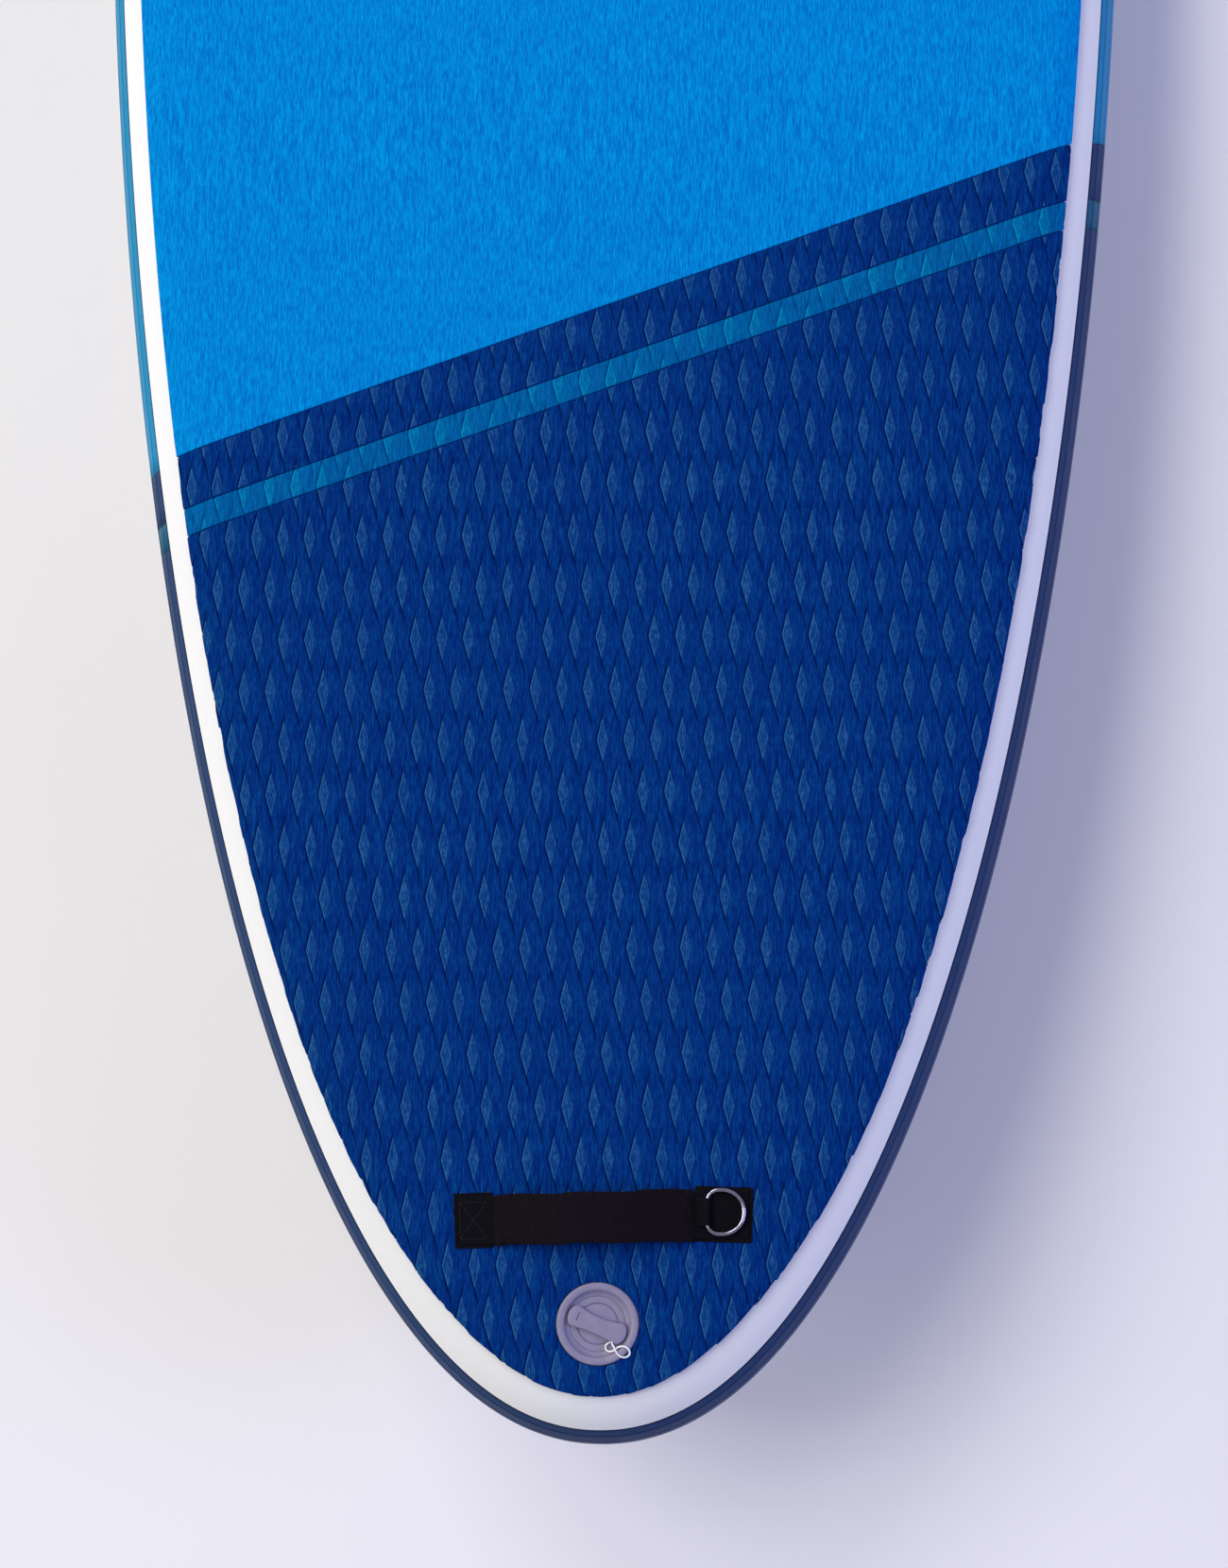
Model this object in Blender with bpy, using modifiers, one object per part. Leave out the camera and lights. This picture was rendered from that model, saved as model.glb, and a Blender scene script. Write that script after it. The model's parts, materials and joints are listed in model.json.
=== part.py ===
"""Inflatable stand-up paddle board, lying on its fins and nose.

Board axes: x runs from the tail tip to the nose, y to port, z up from the middle of the hull's thickness.
Everything hangs from one empty that tips these axes to the attitude in which the board rests on a floor.
"""

import math

import bmesh
import bpy
from mathutils import Matrix, Vector
from mathutils.geometry import interpolate_bezier

# Hull outline and rocker
BOARD_LENGTH = 3.251
BOARD_WIDTH = 0.864
BOARD_THICKNESS = 0.120
TAIL_RUN = 1.600
TAIL_POWER = 2.20
TAIL_ROUNDNESS = 2.08
NOSE_POWER = 2.10
NOSE_ROUNDNESS = 2.25
ROCKER_START = 1.75
ROCKER_POWER = 2.2
NOSE_LIFT = 0.190
TAIL_STATIONS = 16
TAIL_CROWDING = 1.2
NOSE_STATIONS = 24

# Clearances
GAP = 0.0003
CURVE_ALLOWANCE = 0.0003
CUT_CLEARANCE = 0.0006
CUTTER_HEIGHT = 0.480

# Fabric layers
FABRIC = 0.0007
COVER = 0.0006
PAD_THICKNESS = 0.0044
TAPE_EDGE_ANGLE = 36.0
SHOULDER_ANGLE = 63.0
TAPE_ONTO_DECK = 0.025
STITCH_PITCH = 0.200
STITCH_SIDE = 0.0020
SCRIM = 0.0006
NOSE_PANEL_START = 2.33

# Deck pad
PAD_INSET = 0.0288
PAD_TAIL_INSET = 0.0096
PAD_TAIL_FADE = 0.177
PAD_SHOULDER_ANGLE = 74.0
PAD_FRONT = 2.33
PAD_FRONT_RADIUS = 0.90
PAD_FRONT_STEPS = 64
DIAGONAL_ANGLE = 19.5
DIAGONAL_STATION = 0.931
BAND_WIDTH = 0.0439
STRIPE_WIDTH = 0.0223

# Tail handle
TAIL_HANDLE_STATION = 0.182
TAIL_HANDLE_CENTRE = 0.004
TAIL_HANDLE_LENGTH = 0.240
TAIL_HANDLE_LIFT_OFF = 0.012
TAIL_HANDLE_RISE = 0.016
SLEEVE_WIDTH = 0.043
SLEEVE_THICKNESS = 0.0052
WEBBING_WIDTH = 0.038
WEBBING = 0.0016
HANDLE_PATCH_WIDTH = 0.0445
PORT_PATCH_LENGTH = 0.031
STARBOARD_PATCH_LENGTH = 0.047
PATCH_CORNER_SHARE = 1 / 6
STRAP_STEPS = 28
NOSE_STRAP_STEPS = 20
SLEEVE_STEPS = 16
SLEEVE_ROUNDING = 0.35

# Rings and their anchors
RING_WIRE = 0.0030
RING_WIDTH = 0.0376
RING_DEPTH = 0.0300
RING_CORNER = 0.0073
RING_BOW_STEPS = 10
TAIL_RING_STATION = 0.187
TAIL_RING_FROM_CENTRE = 0.0873
TAB_WIDTH = 0.022
TAB_LAYER = 0.0012
TAB_TAIL = 0.008
TAB_STEPS = 12
ANCHOR_RADIUS = 0.040
ANCHOR_TAIL = 0.024
ANCHOR_STEPS = 24
CARGO_FROM_PAD = 0.150
CARGO_RUN = 0.360
CARGO_REAR_FROM_SIDE = 0.222
CARGO_FRONT_FROM_SIDE = 0.297
TOW_STATION = 3.05

# Inflation valve, heights measured from the deck's outer face
VALVE_STATION = 0.097
VALVE_STEPS = 32
FLANGE_RADIUS = 0.0328
FLANGE_TOP = 0.0069
FLANGE_UNDERSIDE = 0.0013
FLANGE_CHAMFER = 0.0012
WELL_TOP_RADIUS = 0.0272
WELL_FLOOR_RADIUS = 0.0256
WELL_FLOOR = 0.0010
CAP_SEAT_RADIUS = 0.0230
CAP_SEAT = -0.0020
BORE_RADIUS = 0.0195
BARREL_RADIUS = 0.0240
VALVE_SEAT = -0.0260
SEAT_THICKNESS = 0.0030
SEAT_HOLE_RADIUS = 0.0140
HUB_RADIUS = 0.0052
HUB_TOP = -0.0210
HUB_HEIGHT = 0.0040
HUB_STEPS = 16
GUIDE_ARM_WIDTH = 0.0030
GUIDE_ARM_DROP = 0.0004
GASKET_THICKNESS = 0.0007
GASKET_RADIUS = 0.0310
NUT_RADIUS = 0.0330
NUT_FLANGE = 0.0025
NUT_COLLAR_RADIUS = 0.0285
NUT_HEIGHT = 0.0095
STEM_RADIUS = 0.0030
BUTTON_RADIUS = 0.0065
BUTTON_TOP = -0.0060
BUTTON_THICKNESS = 0.0030
PLUNGER_TRAVEL = 0.0060
CARRIER_RADIUS = 0.0165
CARRIER_THICKNESS = 0.0020
SEAL_RADIUS = 0.0173
SEAL_THICKNESS = 0.0021
SPRING_WIRE = 0.0009
SPRING_RADIUS = 0.0047
SPRING_TURNS = 4
SPRING_STEPS = 9
CAP_CLEARANCE = 0.0005
CAP_DISC_TOP = 0.0020
CAP_FACE_RADIUS = 0.0170
CAP_FACE_STEP = 0.0004
SKIRT_RADIUS = 0.0189
SKIRT_WALL = 0.0029
SKIRT_BOTTOM = -0.0110
GROOVE_RADIUS = 0.0174
GROOVE_TOP = -0.0070
GROOVE_HEIGHT = 0.0021
O_RING_RADIUS = 0.01835
O_RING_WIRE = 0.0015
GRIP_TOP = 0.0066
GRIP_LENGTH = 0.0496
GRIP_END_WIDTH = 0.0165
GRIP_WAIST = 0.0112
GRIP_CORNER_SHARE = 0.7
GRIP_SIDE_STEPS = 6
GRIP_TIP_STEPS = 8
GRIP_ANGLE = 22.0
CORD_DIAMETER = 0.0014
CORD_SPACING = 0.0032

# Centre carry handle and nose handle
CARRY_STATION = 1.560
CARRY_LENGTH = 0.330
CARRY_SPAN = 0.230
CARRY_RISE = 0.042
CARRY_GRIP_LENGTH = 0.120
CARRY_GRIP_WIDTH = 0.048
CARRY_GRIP_THICKNESS = 0.020
CARRY_PATCH_LENGTH = 0.090
CARRY_PATCH_WIDTH = 0.070
NOSE_HANDLE_STATION = 3.020
NOSE_HANDLE_LENGTH = 0.230
NOSE_HANDLE_SPAN = 0.150
NOSE_HANDLE_RISE = 0.026
NOSE_PATCH_LENGTH = 0.050
NOSE_PATCH_WIDTH = 0.055

# Fins
FIN_CHORD = 0.140
FIN_DEPTH = 0.112
FIN_RAKE = 0.062
FIN_THICKNESS = 0.0065
FIN_ROOT = 0.0040
FIN_BASE_HEIGHT = 0.0070
FIN_BASE_WIDTH = 0.038
FIN_BASE_OVERHANG = 0.018
FIN_BASE_CORNER_SHARE = 0.48
FIN_EDGE_ROUNDING = 0.3
FIN_LEAD_CURVE = ((-0.10, -0.50), (0.35, -0.98))
FIN_TRAIL_CURVE = ((0.06, -0.60), (0.06, -0.38))
FIN_TIP_END = (-0.11, -0.94)
CENTRE_FIN_STATION = 0.235
SIDE_FIN_STATION = 0.355
SIDE_FIN_SPREAD = 0.135

HULL_RADIUS = BOARD_THICKNESS / 2
WALL_RADIUS = HULL_RADIUS - COVER - GAP
PAD_RADIUS = HULL_RADIUS + GAP + CURVE_ALLOWANCE + PAD_THICKNESS
DECK = HULL_RADIUS


# Shared lines of the hull
def half_width(run, power, roundness, distance):
    """Half the board's width at a distance from one tip, for the end that is run metres long."""
    share = max(0.0, 1.0 - distance / run)
    return BOARD_WIDTH / 2 * (1.0 - share**power) ** (1.0 / roundness)


def rocker(x):
    """Height of the hull's middle line, which bends up towards the nose."""
    if x <= ROCKER_START:
        return 0.0
    return NOSE_LIFT * ((x - ROCKER_START) / (BOARD_LENGTH - ROCKER_START)) ** ROCKER_POWER


def rocker_angle(x):
    if x <= ROCKER_START:
        return 0.0
    run = BOARD_LENGTH - ROCKER_START
    return math.atan(NOSE_LIFT * ROCKER_POWER / run * ((x - ROCKER_START) / run) ** (ROCKER_POWER - 1.0))


def on_rocker(point):
    """Moves a point of the flat board onto the bent one, keeping its distance from the middle line."""
    angle = rocker_angle(point[0])
    return Vector(
        (
            point[0] - point[2] * math.sin(angle),
            point[1],
            rocker(point[0]) + point[2] * math.cos(angle),
        )
    )


def outline():
    """The flat outline as a closed loop: tail tip, port side, nose tip, starboard side."""
    port = []
    for i in range(1, TAIL_STATIONS + 1):
        x = TAIL_RUN * (1.0 - math.cos(math.pi / 2 * (i / TAIL_STATIONS) ** TAIL_CROWDING))
        port.append(Vector((x, half_width(TAIL_RUN, TAIL_POWER, TAIL_ROUNDNESS, x))))
    nose_run = BOARD_LENGTH - TAIL_RUN
    for i in range(NOSE_STATIONS - 1, 0, -1):
        ahead = nose_run * (1.0 - math.cos(math.pi / 2 * i / NOSE_STATIONS))
        port.append(Vector((BOARD_LENGTH - ahead, half_width(nose_run, NOSE_POWER, NOSE_ROUNDNESS, ahead))))
    starboard = [Vector((p.x, -p.y)) for p in reversed(port)]
    return [Vector((0.0, 0.0))] + port + [Vector((BOARD_LENGTH, 0.0))] + starboard


def outward_normals(loop):
    count = len(loop)
    normals = []
    for k, point in enumerate(loop):
        before = (point - loop[k - 1]).normalized()
        after = (loop[(k + 1) % count] - point).normalized()
        along = (before + after).normalized()
        normals.append(Vector((-along.y, along.x)))
    return normals


OUTLINE = outline()
NORMALS = outward_normals(OUTLINE)


def rail_row(radius, degrees):
    """Inset from the outline and height of a line that runs round the rail at one angle."""
    angle = math.radians(degrees)
    return HULL_RADIUS - radius * math.cos(angle), radius * math.sin(angle)


def pad_rim_row(x):
    """The pad's cut edge: it stands further in round the tail tip."""
    inset = PAD_INSET + PAD_TAIL_INSET * math.exp(-((x / PAD_TAIL_FADE) ** 2))
    across = HULL_RADIUS - inset
    return inset, math.sqrt(PAD_RADIUS**2 - across**2)


# Blender helpers
def clear_scene():
    for obj in list(bpy.data.objects):
        bpy.data.objects.remove(obj, do_unlink=True)
    for collection in list(bpy.data.collections):
        bpy.data.collections.remove(collection)


def new_collection(name):
    collection = bpy.data.collections.new(name)
    bpy.context.scene.collection.children.link(collection)
    return collection


clear_scene()
PARTS = new_collection("paddle_board")
CUTTERS = new_collection("cutters")
BOARD = bpy.data.objects.new("rest_attitude", None)
PARTS.objects.link(BOARD)


def material(name, colour, roughness, metallic=0.0):
    made = bpy.data.materials.new(name)
    made.use_nodes = True
    shader = made.node_tree.nodes["Principled BSDF"]
    shader.inputs["Base Color"].default_value = (*colour, 1.0)
    shader.inputs["Roughness"].default_value = roughness
    shader.inputs["Metallic"].default_value = metallic
    made.diffuse_color = (*colour, 1.0)
    return made


def add_part(name, mesh, finish, parent=BOARD):
    """One named piece of the board, in board axes unless it is given its own place."""
    obj = bpy.data.objects.new(name, mesh)
    PARTS.objects.link(obj)
    obj.parent = parent
    if not mesh.materials:
        mesh.materials.append(finish)
    return obj


def add_cutter(name, mesh):
    obj = bpy.data.objects.new(name, mesh)
    CUTTERS.objects.link(obj)
    obj.hide_render = True
    obj.display_type = "WIRE"
    return obj


def mesh_of(bm, name):
    mesh = bpy.data.meshes.new(name)
    bm.to_mesh(mesh)
    bm.free()
    return mesh


def box_mesh(name, size, centre=(0.0, 0.0, 0.0), turn=0.0):
    bm = bmesh.new()
    place = Matrix.Translation(centre) @ Matrix.Rotation(turn, 4, "Z") @ Matrix.Diagonal((*size, 1.0))
    bmesh.ops.create_cube(bm, size=1.0, matrix=place)
    return mesh_of(bm, name)


def drum_mesh(name, radius, low, high, centre=(0.0, 0.0), steps=VALVE_STEPS):
    bm = bmesh.new()
    middle = Matrix.Translation((centre[0], centre[1], (low + high) / 2))
    bmesh.ops.create_cone(
        bm, cap_ends=True, segments=steps, radius1=radius, radius2=radius, depth=high - low, matrix=middle
    )
    return mesh_of(bm, name)


def curve_mesh(curve, name):
    """A curve's solid as a welded mesh; the curve object is removed."""
    source = bpy.data.objects.new(name + "_curve", curve)
    bpy.context.scene.collection.objects.link(source)
    graph = bpy.context.evaluated_depsgraph_get()
    mesh = bpy.data.meshes.new_from_object(source.evaluated_get(graph))
    bpy.data.objects.remove(source, do_unlink=True)
    bm = bmesh.new()
    bm.from_mesh(mesh)
    bmesh.ops.remove_doubles(bm, verts=bm.verts, dist=0.00001)
    bm.to_mesh(mesh)
    bm.free()
    mesh.name = name
    return mesh


def flat_mesh(name, loops, thickness):
    """A plate with the given outlines, later loops being holes, centred on z = 0."""
    curve = bpy.data.curves.new(name + "_outline", "CURVE")
    curve.dimensions = "2D"
    curve.fill_mode = "BOTH"
    curve.extrude = thickness / 2
    for loop in loops:
        spline = curve.splines.new("POLY")
        spline.points.add(len(loop) - 1)
        for point, (x, y) in zip(spline.points, loop):
            point.co = (x, y, 0.0, 1.0)
        spline.use_cyclic_u = True
    return curve_mesh(curve, name)


def wire_mesh(name, points, diameter, closed=False):
    """A round wire along a smooth line of points."""
    curve = bpy.data.curves.new(name + "_path", "CURVE")
    curve.dimensions = "3D"
    curve.twist_mode = "Z_UP" if closed else "MINIMUM"
    curve.bevel_depth = diameter / 2
    curve.bevel_resolution = 2
    curve.use_fill_caps = True
    spline = curve.splines.new("POLY")
    spline.points.add(len(points) - 1)
    for point, place in zip(spline.points, points):
        point.co = (*place, 1.0)
    spline.use_cyclic_u = closed
    mesh = curve_mesh(curve, name)
    mesh.shade_smooth()
    return mesh


def turned_part(name, profile, finish, parent, closed=True, steps=VALVE_STEPS):
    """A piece turned about z from a profile of (radius, height) that runs down its outer side."""
    mesh = bpy.data.meshes.new(name)
    points = [(radius, 0.0, height) for radius, height in profile]
    edges = [(i, i + 1) for i in range(len(points) - 1)]
    if closed:
        edges.append((len(points) - 1, 0))
    mesh.from_pydata(points, edges, [])
    obj = add_part(name, mesh, finish, parent)
    screw = obj.modifiers.new("turn", "SCREW")
    screw.axis = "Z"
    screw.angle = math.tau
    screw.steps = steps
    screw.render_steps = steps
    screw.use_merge_vertices = True
    screw.merge_threshold = 0.00001
    screw.use_smooth_shade = True
    return obj


def combine(obj, cutter, operation):
    """Cuts or joins with another shape, which is given in the object's own axes."""
    cutter.parent = obj
    modifier = obj.modifiers.new(operation.lower() + "_" + cutter.name, "BOOLEAN")
    modifier.operation = operation
    modifier.solver = "EXACT"
    modifier.object = cutter


def settled_mesh(obj):
    """The object's mesh with its modifiers worked in."""
    graph = bpy.context.evaluated_depsgraph_get()
    mesh = bpy.data.meshes.new_from_object(obj.evaluated_get(graph))
    mesh.name = obj.name
    return mesh


def work_in(obj):
    mesh = settled_mesh(obj)
    obj.modifiers.clear()
    obj.data = mesh
    return obj


def mesh_alone(obj):
    """The finished mesh of an object that was only a step on the way."""
    mesh = settled_mesh(obj)
    bpy.data.objects.remove(obj, do_unlink=True)
    return mesh


def soften_edges(obj, width, segments):
    edges = obj.modifiers.new("soft_edges", "BEVEL")
    edges.width = width
    edges.segments = segments
    edges.limit_method = "ANGLE"
    edges.angle_limit = math.radians(50.0)


def bend(obj):
    """Works in the modifiers and bends the flat piece along the rocker."""
    work_in(obj)
    for vertex in obj.data.vertices:
        vertex.co = on_rocker(vertex.co)
    return obj


def seat(obj, x, y, height):
    """Puts a rigid piece on the bent board, its z axis square to the deck."""
    obj.location = on_rocker((x, y, height))
    obj.rotation_euler.y = -rocker_angle(x)
    return obj


# Sheets that follow the hull
def row_loop(row):
    """The points of one line round the board, from (inset, height) or a function of x that gives them."""
    points = []
    for point, normal in zip(OUTLINE, NORMALS):
        inset, height = row(point.x) if callable(row) else row
        flat = point - normal * inset
        points.append((flat.x, flat.y, height))
    return points


def cover_strips(bm, ring, face_up):
    """Closes the middle of a ring with strips that run from port to starboard."""
    count = len(ring)
    for k in range(count // 2):
        corners = [ring[k], ring[-k % count], ring[-(k + 1) % count], ring[k + 1]]
        corners = list(dict.fromkeys(corners))
        bm.faces.new(corners if face_up else corners[::-1])


def hull_sheet(name, rows, thickness, finish, middle=None):
    """A layer of the hull from rows that run bottom to top; middle closes it at the deck or the bottom."""
    bm = bmesh.new()
    rings = [[bm.verts.new(p) for p in row_loop(row)] for row in rows]
    count = len(OUTLINE)
    for low, high in zip(rings, rings[1:]):
        for k in range(count):
            after = (k + 1) % count
            bm.faces.new((low[k], high[k], high[after], low[after]))
    if middle == "deck":
        cover_strips(bm, rings[-1], True)
    if middle == "bottom":
        cover_strips(bm, rings[0], False)
    obj = add_part(name, mesh_of(bm, name), finish)
    shell = obj.modifiers.new("thickness", "SOLIDIFY")
    shell.thickness = thickness
    shell.offset = -1.0
    shell.use_even_offset = True
    return obj


def half_space(name, port):
    """A block that holds everything on one side of the centre plane."""
    side = 1.0 if port else -1.0
    size = (BOARD_LENGTH * 2, BOARD_WIDTH, CUTTER_HEIGHT)
    return add_cutter(name, box_mesh(name, size, (BOARD_LENGTH / 2, side * (BOARD_WIDTH / 2 + GAP / 2), 0.0)))


def lengthways_block(name, start, end):
    """A block that holds everything between two stations."""
    size = (end - start, 2 * BOARD_WIDTH, CUTTER_HEIGHT)
    return add_cutter(name, box_mesh(name, size, ((start + end) / 2, 0.0, 0.0)))


def diagonal_block(name, ahead_from, ahead_to, side=0):
    """A block between two lines parallel to the pad's diagonal edge, measured square to it and forward."""
    turn = math.radians(DIAGONAL_ANGLE)
    along = BOARD_LENGTH
    ahead = Vector((math.cos(turn), math.sin(turn), 0.0))
    square = Vector((-ahead.y, ahead.x, 0.0))
    centre = Vector((DIAGONAL_STATION, 0.0, 0.0)) + ahead * (ahead_from + ahead_to) / 2
    centre += square * side * (along / 2 + GAP)
    size = (ahead_to - ahead_from, along, CUTTER_HEIGHT)
    return add_cutter(name, box_mesh(name, size, centre, turn))


def make_chamber(finish):
    """The drop-stitch chamber: deck and bottom panels, tying threads, and a side wall in two halves."""
    top = WALL_RADIUS
    edge = HULL_RADIUS + GAP
    seam = NOSE_PANEL_START
    nose_panel = hull_sheet("deck_panel_nose", [(edge, top)], FABRIC, finish["panel"], "deck")
    combine(nose_panel, lengthways_block("nose_panel_limits", seam + GAP / 2, 2 * BOARD_LENGTH), "INTERSECT")
    bend(nose_panel)
    deck_panel = hull_sheet("deck_panel", [(edge, top)], FABRIC, finish["panel"], "deck")
    combine(deck_panel, lengthways_block("deck_panel_limits", -BOARD_LENGTH, seam - GAP / 2), "INTERSECT")
    hole = drum_mesh("valve_hole", BARREL_RADIUS + CUT_CLEARANCE, 0.0, PAD_RADIUS, (VALVE_STATION, 0.0))
    combine(deck_panel, add_cutter("valve_hole", hole), "DIFFERENCE")
    bend(deck_panel)
    bend(hull_sheet("bottom_panel", [(edge, -top)], FABRIC, finish["panel"], "bottom"))
    angles = [-90.0, -SHOULDER_ANGLE, -TAPE_EDGE_ANGLE, 0.0, TAPE_EDGE_ANGLE, SHOULDER_ANGLE, 90.0]
    for name, port in (("side_wall_port", True), ("side_wall_starboard", False)):
        wall = hull_sheet(name, [rail_row(WALL_RADIUS, a) for a in angles], FABRIC, finish["panel"])
        combine(wall, half_space(name + "_side", port), "INTERSECT")
        bend(wall)
    make_drop_threads(finish, edge)


def make_drop_threads(finish, edge):
    """Tufts of the threads that hold deck and bottom apart, woven into a scrim on the bottom panel."""
    floor = -WALL_RADIUS + FABRIC + GAP
    reach = WALL_RADIUS - FABRIC - GAP
    scrim = hull_sheet("drop_threads", [(edge + 2 * STITCH_SIDE, floor)], SCRIM, finish["thread"], "bottom")
    tufts = bmesh.new()
    rows = int(BOARD_LENGTH / STITCH_PITCH)
    lines = int(BOARD_WIDTH / 2 / STITCH_PITCH)
    for i in range(1, rows):
        for j in range(-lines, lines + 1):
            x = i * STITCH_PITCH
            y = j * STITCH_PITCH
            if not inside_chamber(x, y) or math.hypot(x - VALVE_STATION, y) < 2 * NUT_RADIUS:
                continue
            low = floor + SCRIM / 2
            place = Matrix.Translation((x, y, (low + reach) / 2))
            size = Matrix.Diagonal((STITCH_SIDE, STITCH_SIDE, reach - low, 1.0))
            bmesh.ops.create_cube(tufts, size=1.0, matrix=place @ size)
    combine(scrim, add_cutter("tufts", mesh_of(tufts, "tufts")), "UNION")
    bend(scrim)


def inside_chamber(x, y):
    margin = HULL_RADIUS + 4 * STITCH_SIDE
    if x <= TAIL_RUN:
        width = half_width(TAIL_RUN, TAIL_POWER, TAIL_ROUNDNESS, max(0.0, x - margin))
    else:
        nose_run = BOARD_LENGTH - TAIL_RUN
        width = half_width(nose_run, NOSE_POWER, NOSE_ROUNDNESS, max(0.0, BOARD_LENGTH - x - margin))
    return abs(y) < width - margin


def make_outer_layers(finish):
    """Laminates, seam tapes and the coloured rail covers."""
    inner = HULL_RADIUS + TAPE_ONTO_DECK
    gap_angle = math.degrees((GAP + COVER) / 2 / HULL_RADIUS)
    laminate = hull_sheet("deck_laminate", [(inner + GAP, HULL_RADIUS)], COVER, finish["white"], "deck")
    combine(laminate, bpy.data.objects["valve_hole"], "DIFFERENCE")
    bend(laminate)
    bend(hull_sheet("bottom_laminate", [(inner + GAP, -HULL_RADIUS)], COVER, finish["white"], "bottom"))
    upper = [rail_row(HULL_RADIUS, a) for a in (TAPE_EDGE_ANGLE + gap_angle, SHOULDER_ANGLE, 90.0)]
    deck_tape = hull_sheet("deck_edge_tape", upper + [(inner, HULL_RADIUS)], COVER, finish["white"])
    combine(deck_tape, bpy.data.objects["valve_hole"], "DIFFERENCE")
    bend(deck_tape)
    lower = [(inset, -height) for inset, height in reversed(upper)]
    bend(hull_sheet("bottom_edge_tape", [(inner, -HULL_RADIUS)] + lower, COVER, finish["white"]))
    side_angles = (-TAPE_EDGE_ANGLE + gap_angle, 0.0, TAPE_EDGE_ANGLE - gap_angle)
    side_rows = [rail_row(HULL_RADIUS, a) for a in side_angles]
    stripe_top = -BAND_WIDTH
    stripe_low = stripe_top - STRIPE_WIDTH
    far = 2 * BOARD_LENGTH
    covers = (
        ("rail_cover_front", "blue", GAP / 2, far, 0),
        ("rail_cover_band_port", "navy", stripe_top + GAP / 2, -GAP / 2, 1),
        ("rail_cover_band_starboard", "navy", stripe_top + GAP / 2, -GAP / 2, -1),
        ("rail_stripe_port", "stripe", stripe_low + GAP / 2, stripe_top - GAP / 2, 1),
        ("rail_stripe_starboard", "stripe", stripe_low + GAP / 2, stripe_top - GAP / 2, -1),
        ("rail_cover_rear", "navy", -far, stripe_low - GAP / 2, 0),
    )
    for name, colour, start, end, side in covers:
        cover = hull_sheet(name, side_rows, COVER, finish["rail_" + colour])
        combine(cover, diagonal_block(name + "_limits", start, end, side), "INTERSECT")
        bend(cover)


def make_pads(finish):
    """The foam deck pad: blue ahead of the diagonal edge, navy behind it with a lighter stripe let in."""
    stripe_top = -BAND_WIDTH
    stripe_low = stripe_top - STRIPE_WIDTH
    far = 2 * BOARD_LENGTH
    rows = [pad_rim_row, rail_row(PAD_RADIUS, PAD_SHOULDER_ANGLE), rail_row(PAD_RADIUS, 90.0)]
    front_arc = add_cutter(
        "pad_front_arc",
        drum_mesh(
            "pad_front_arc",
            PAD_FRONT_RADIUS,
            -PAD_RADIUS,
            2 * PAD_RADIUS,
            (PAD_FRONT - PAD_FRONT_RADIUS, 0.0),
            PAD_FRONT_STEPS,
        ),
    )
    pieces = (
        ("deck_pad_front", "blue", GAP / 2, far),
        ("deck_pad_band", "navy", stripe_top + GAP / 2, -GAP / 2),
        ("deck_pad_stripe", "stripe", stripe_low + GAP / 2, stripe_top - GAP / 2),
        ("deck_pad_rear", "navy", -far, stripe_low - GAP / 2),
    )
    for name, colour, start, end in pieces:
        pad = hull_sheet(name, rows, PAD_THICKNESS, finish["pad_" + colour], "deck")
        combine(pad, diagonal_block(name + "_limits", start, end), "INTERSECT")
        if name == "deck_pad_front":
            combine(pad, front_arc, "INTERSECT")
        if name == "deck_pad_rear":
            hole = drum_mesh(
                "pad_valve_hole", FLANGE_RADIUS + CUT_CLEARANCE, 0.0, 2 * PAD_RADIUS, (VALVE_STATION, 0.0)
            )
            combine(pad, add_cutter("pad_valve_hole", hole), "DIFFERENCE")
        bend(pad)


# Webbing, rings and anchors
def arch_height(along, arch):
    """Height of a strap's arch, given as where its middle is, how far it spans and how high it rises."""
    middle, span, rise = arch
    share = min(1.0, abs(along - middle) / (span / 2))
    return rise * (1.0 - share**2) ** 2


def ribbon_mesh(name, start, end, arch, width, thickness, steps):
    """A strap along local x that follows an arch and lies flat beyond it."""
    bm = bmesh.new()
    pairs = []
    for i in range(steps + 1):
        along = start + (end - start) * i / steps
        height = arch_height(along, arch)
        pairs.append([bm.verts.new((along, side * width / 2, height)) for side in (-1.0, 1.0)])
    for near, far in zip(pairs, pairs[1:]):
        bm.faces.new((near[0], far[0], far[1], near[1]))
    strip = add_cutter(name, mesh_of(bm, name))
    layer = strip.modifiers.new("thickness", "SOLIDIFY")
    layer.thickness = thickness
    layer.offset = 0.0
    layer.use_even_offset = True
    return mesh_alone(strip)


def strap_and_sleeve(label, ends, cover, arch, width, thickness, height, finish, parent):
    """A webbing strap between two ends and the padded cover that it runs through."""
    mesh = ribbon_mesh(label + "_strap", *ends, arch, WEBBING_WIDTH, WEBBING, STRAP_STEPS)
    strap = add_part(label + "_strap", mesh, finish["webbing"], parent)
    strap.location.z = height
    room_size = (WEBBING_WIDTH + 2 * GAP, WEBBING + 2 * GAP)
    room = ribbon_mesh(label + "_slot", *ends, arch, *room_size, STRAP_STEPS)
    name, cover_start, cover_end = cover
    mesh = ribbon_mesh(name, cover_start, cover_end, arch, width, thickness, SLEEVE_STEPS)
    sleeve = add_part(name, mesh, finish["foam"], parent)
    soften_edges(sleeve, thickness * SLEEVE_ROUNDING, 2)
    combine(sleeve, add_cutter(label + "_slot", room), "DIFFERENCE")
    work_in(sleeve)
    sleeve.location.z = height


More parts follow.
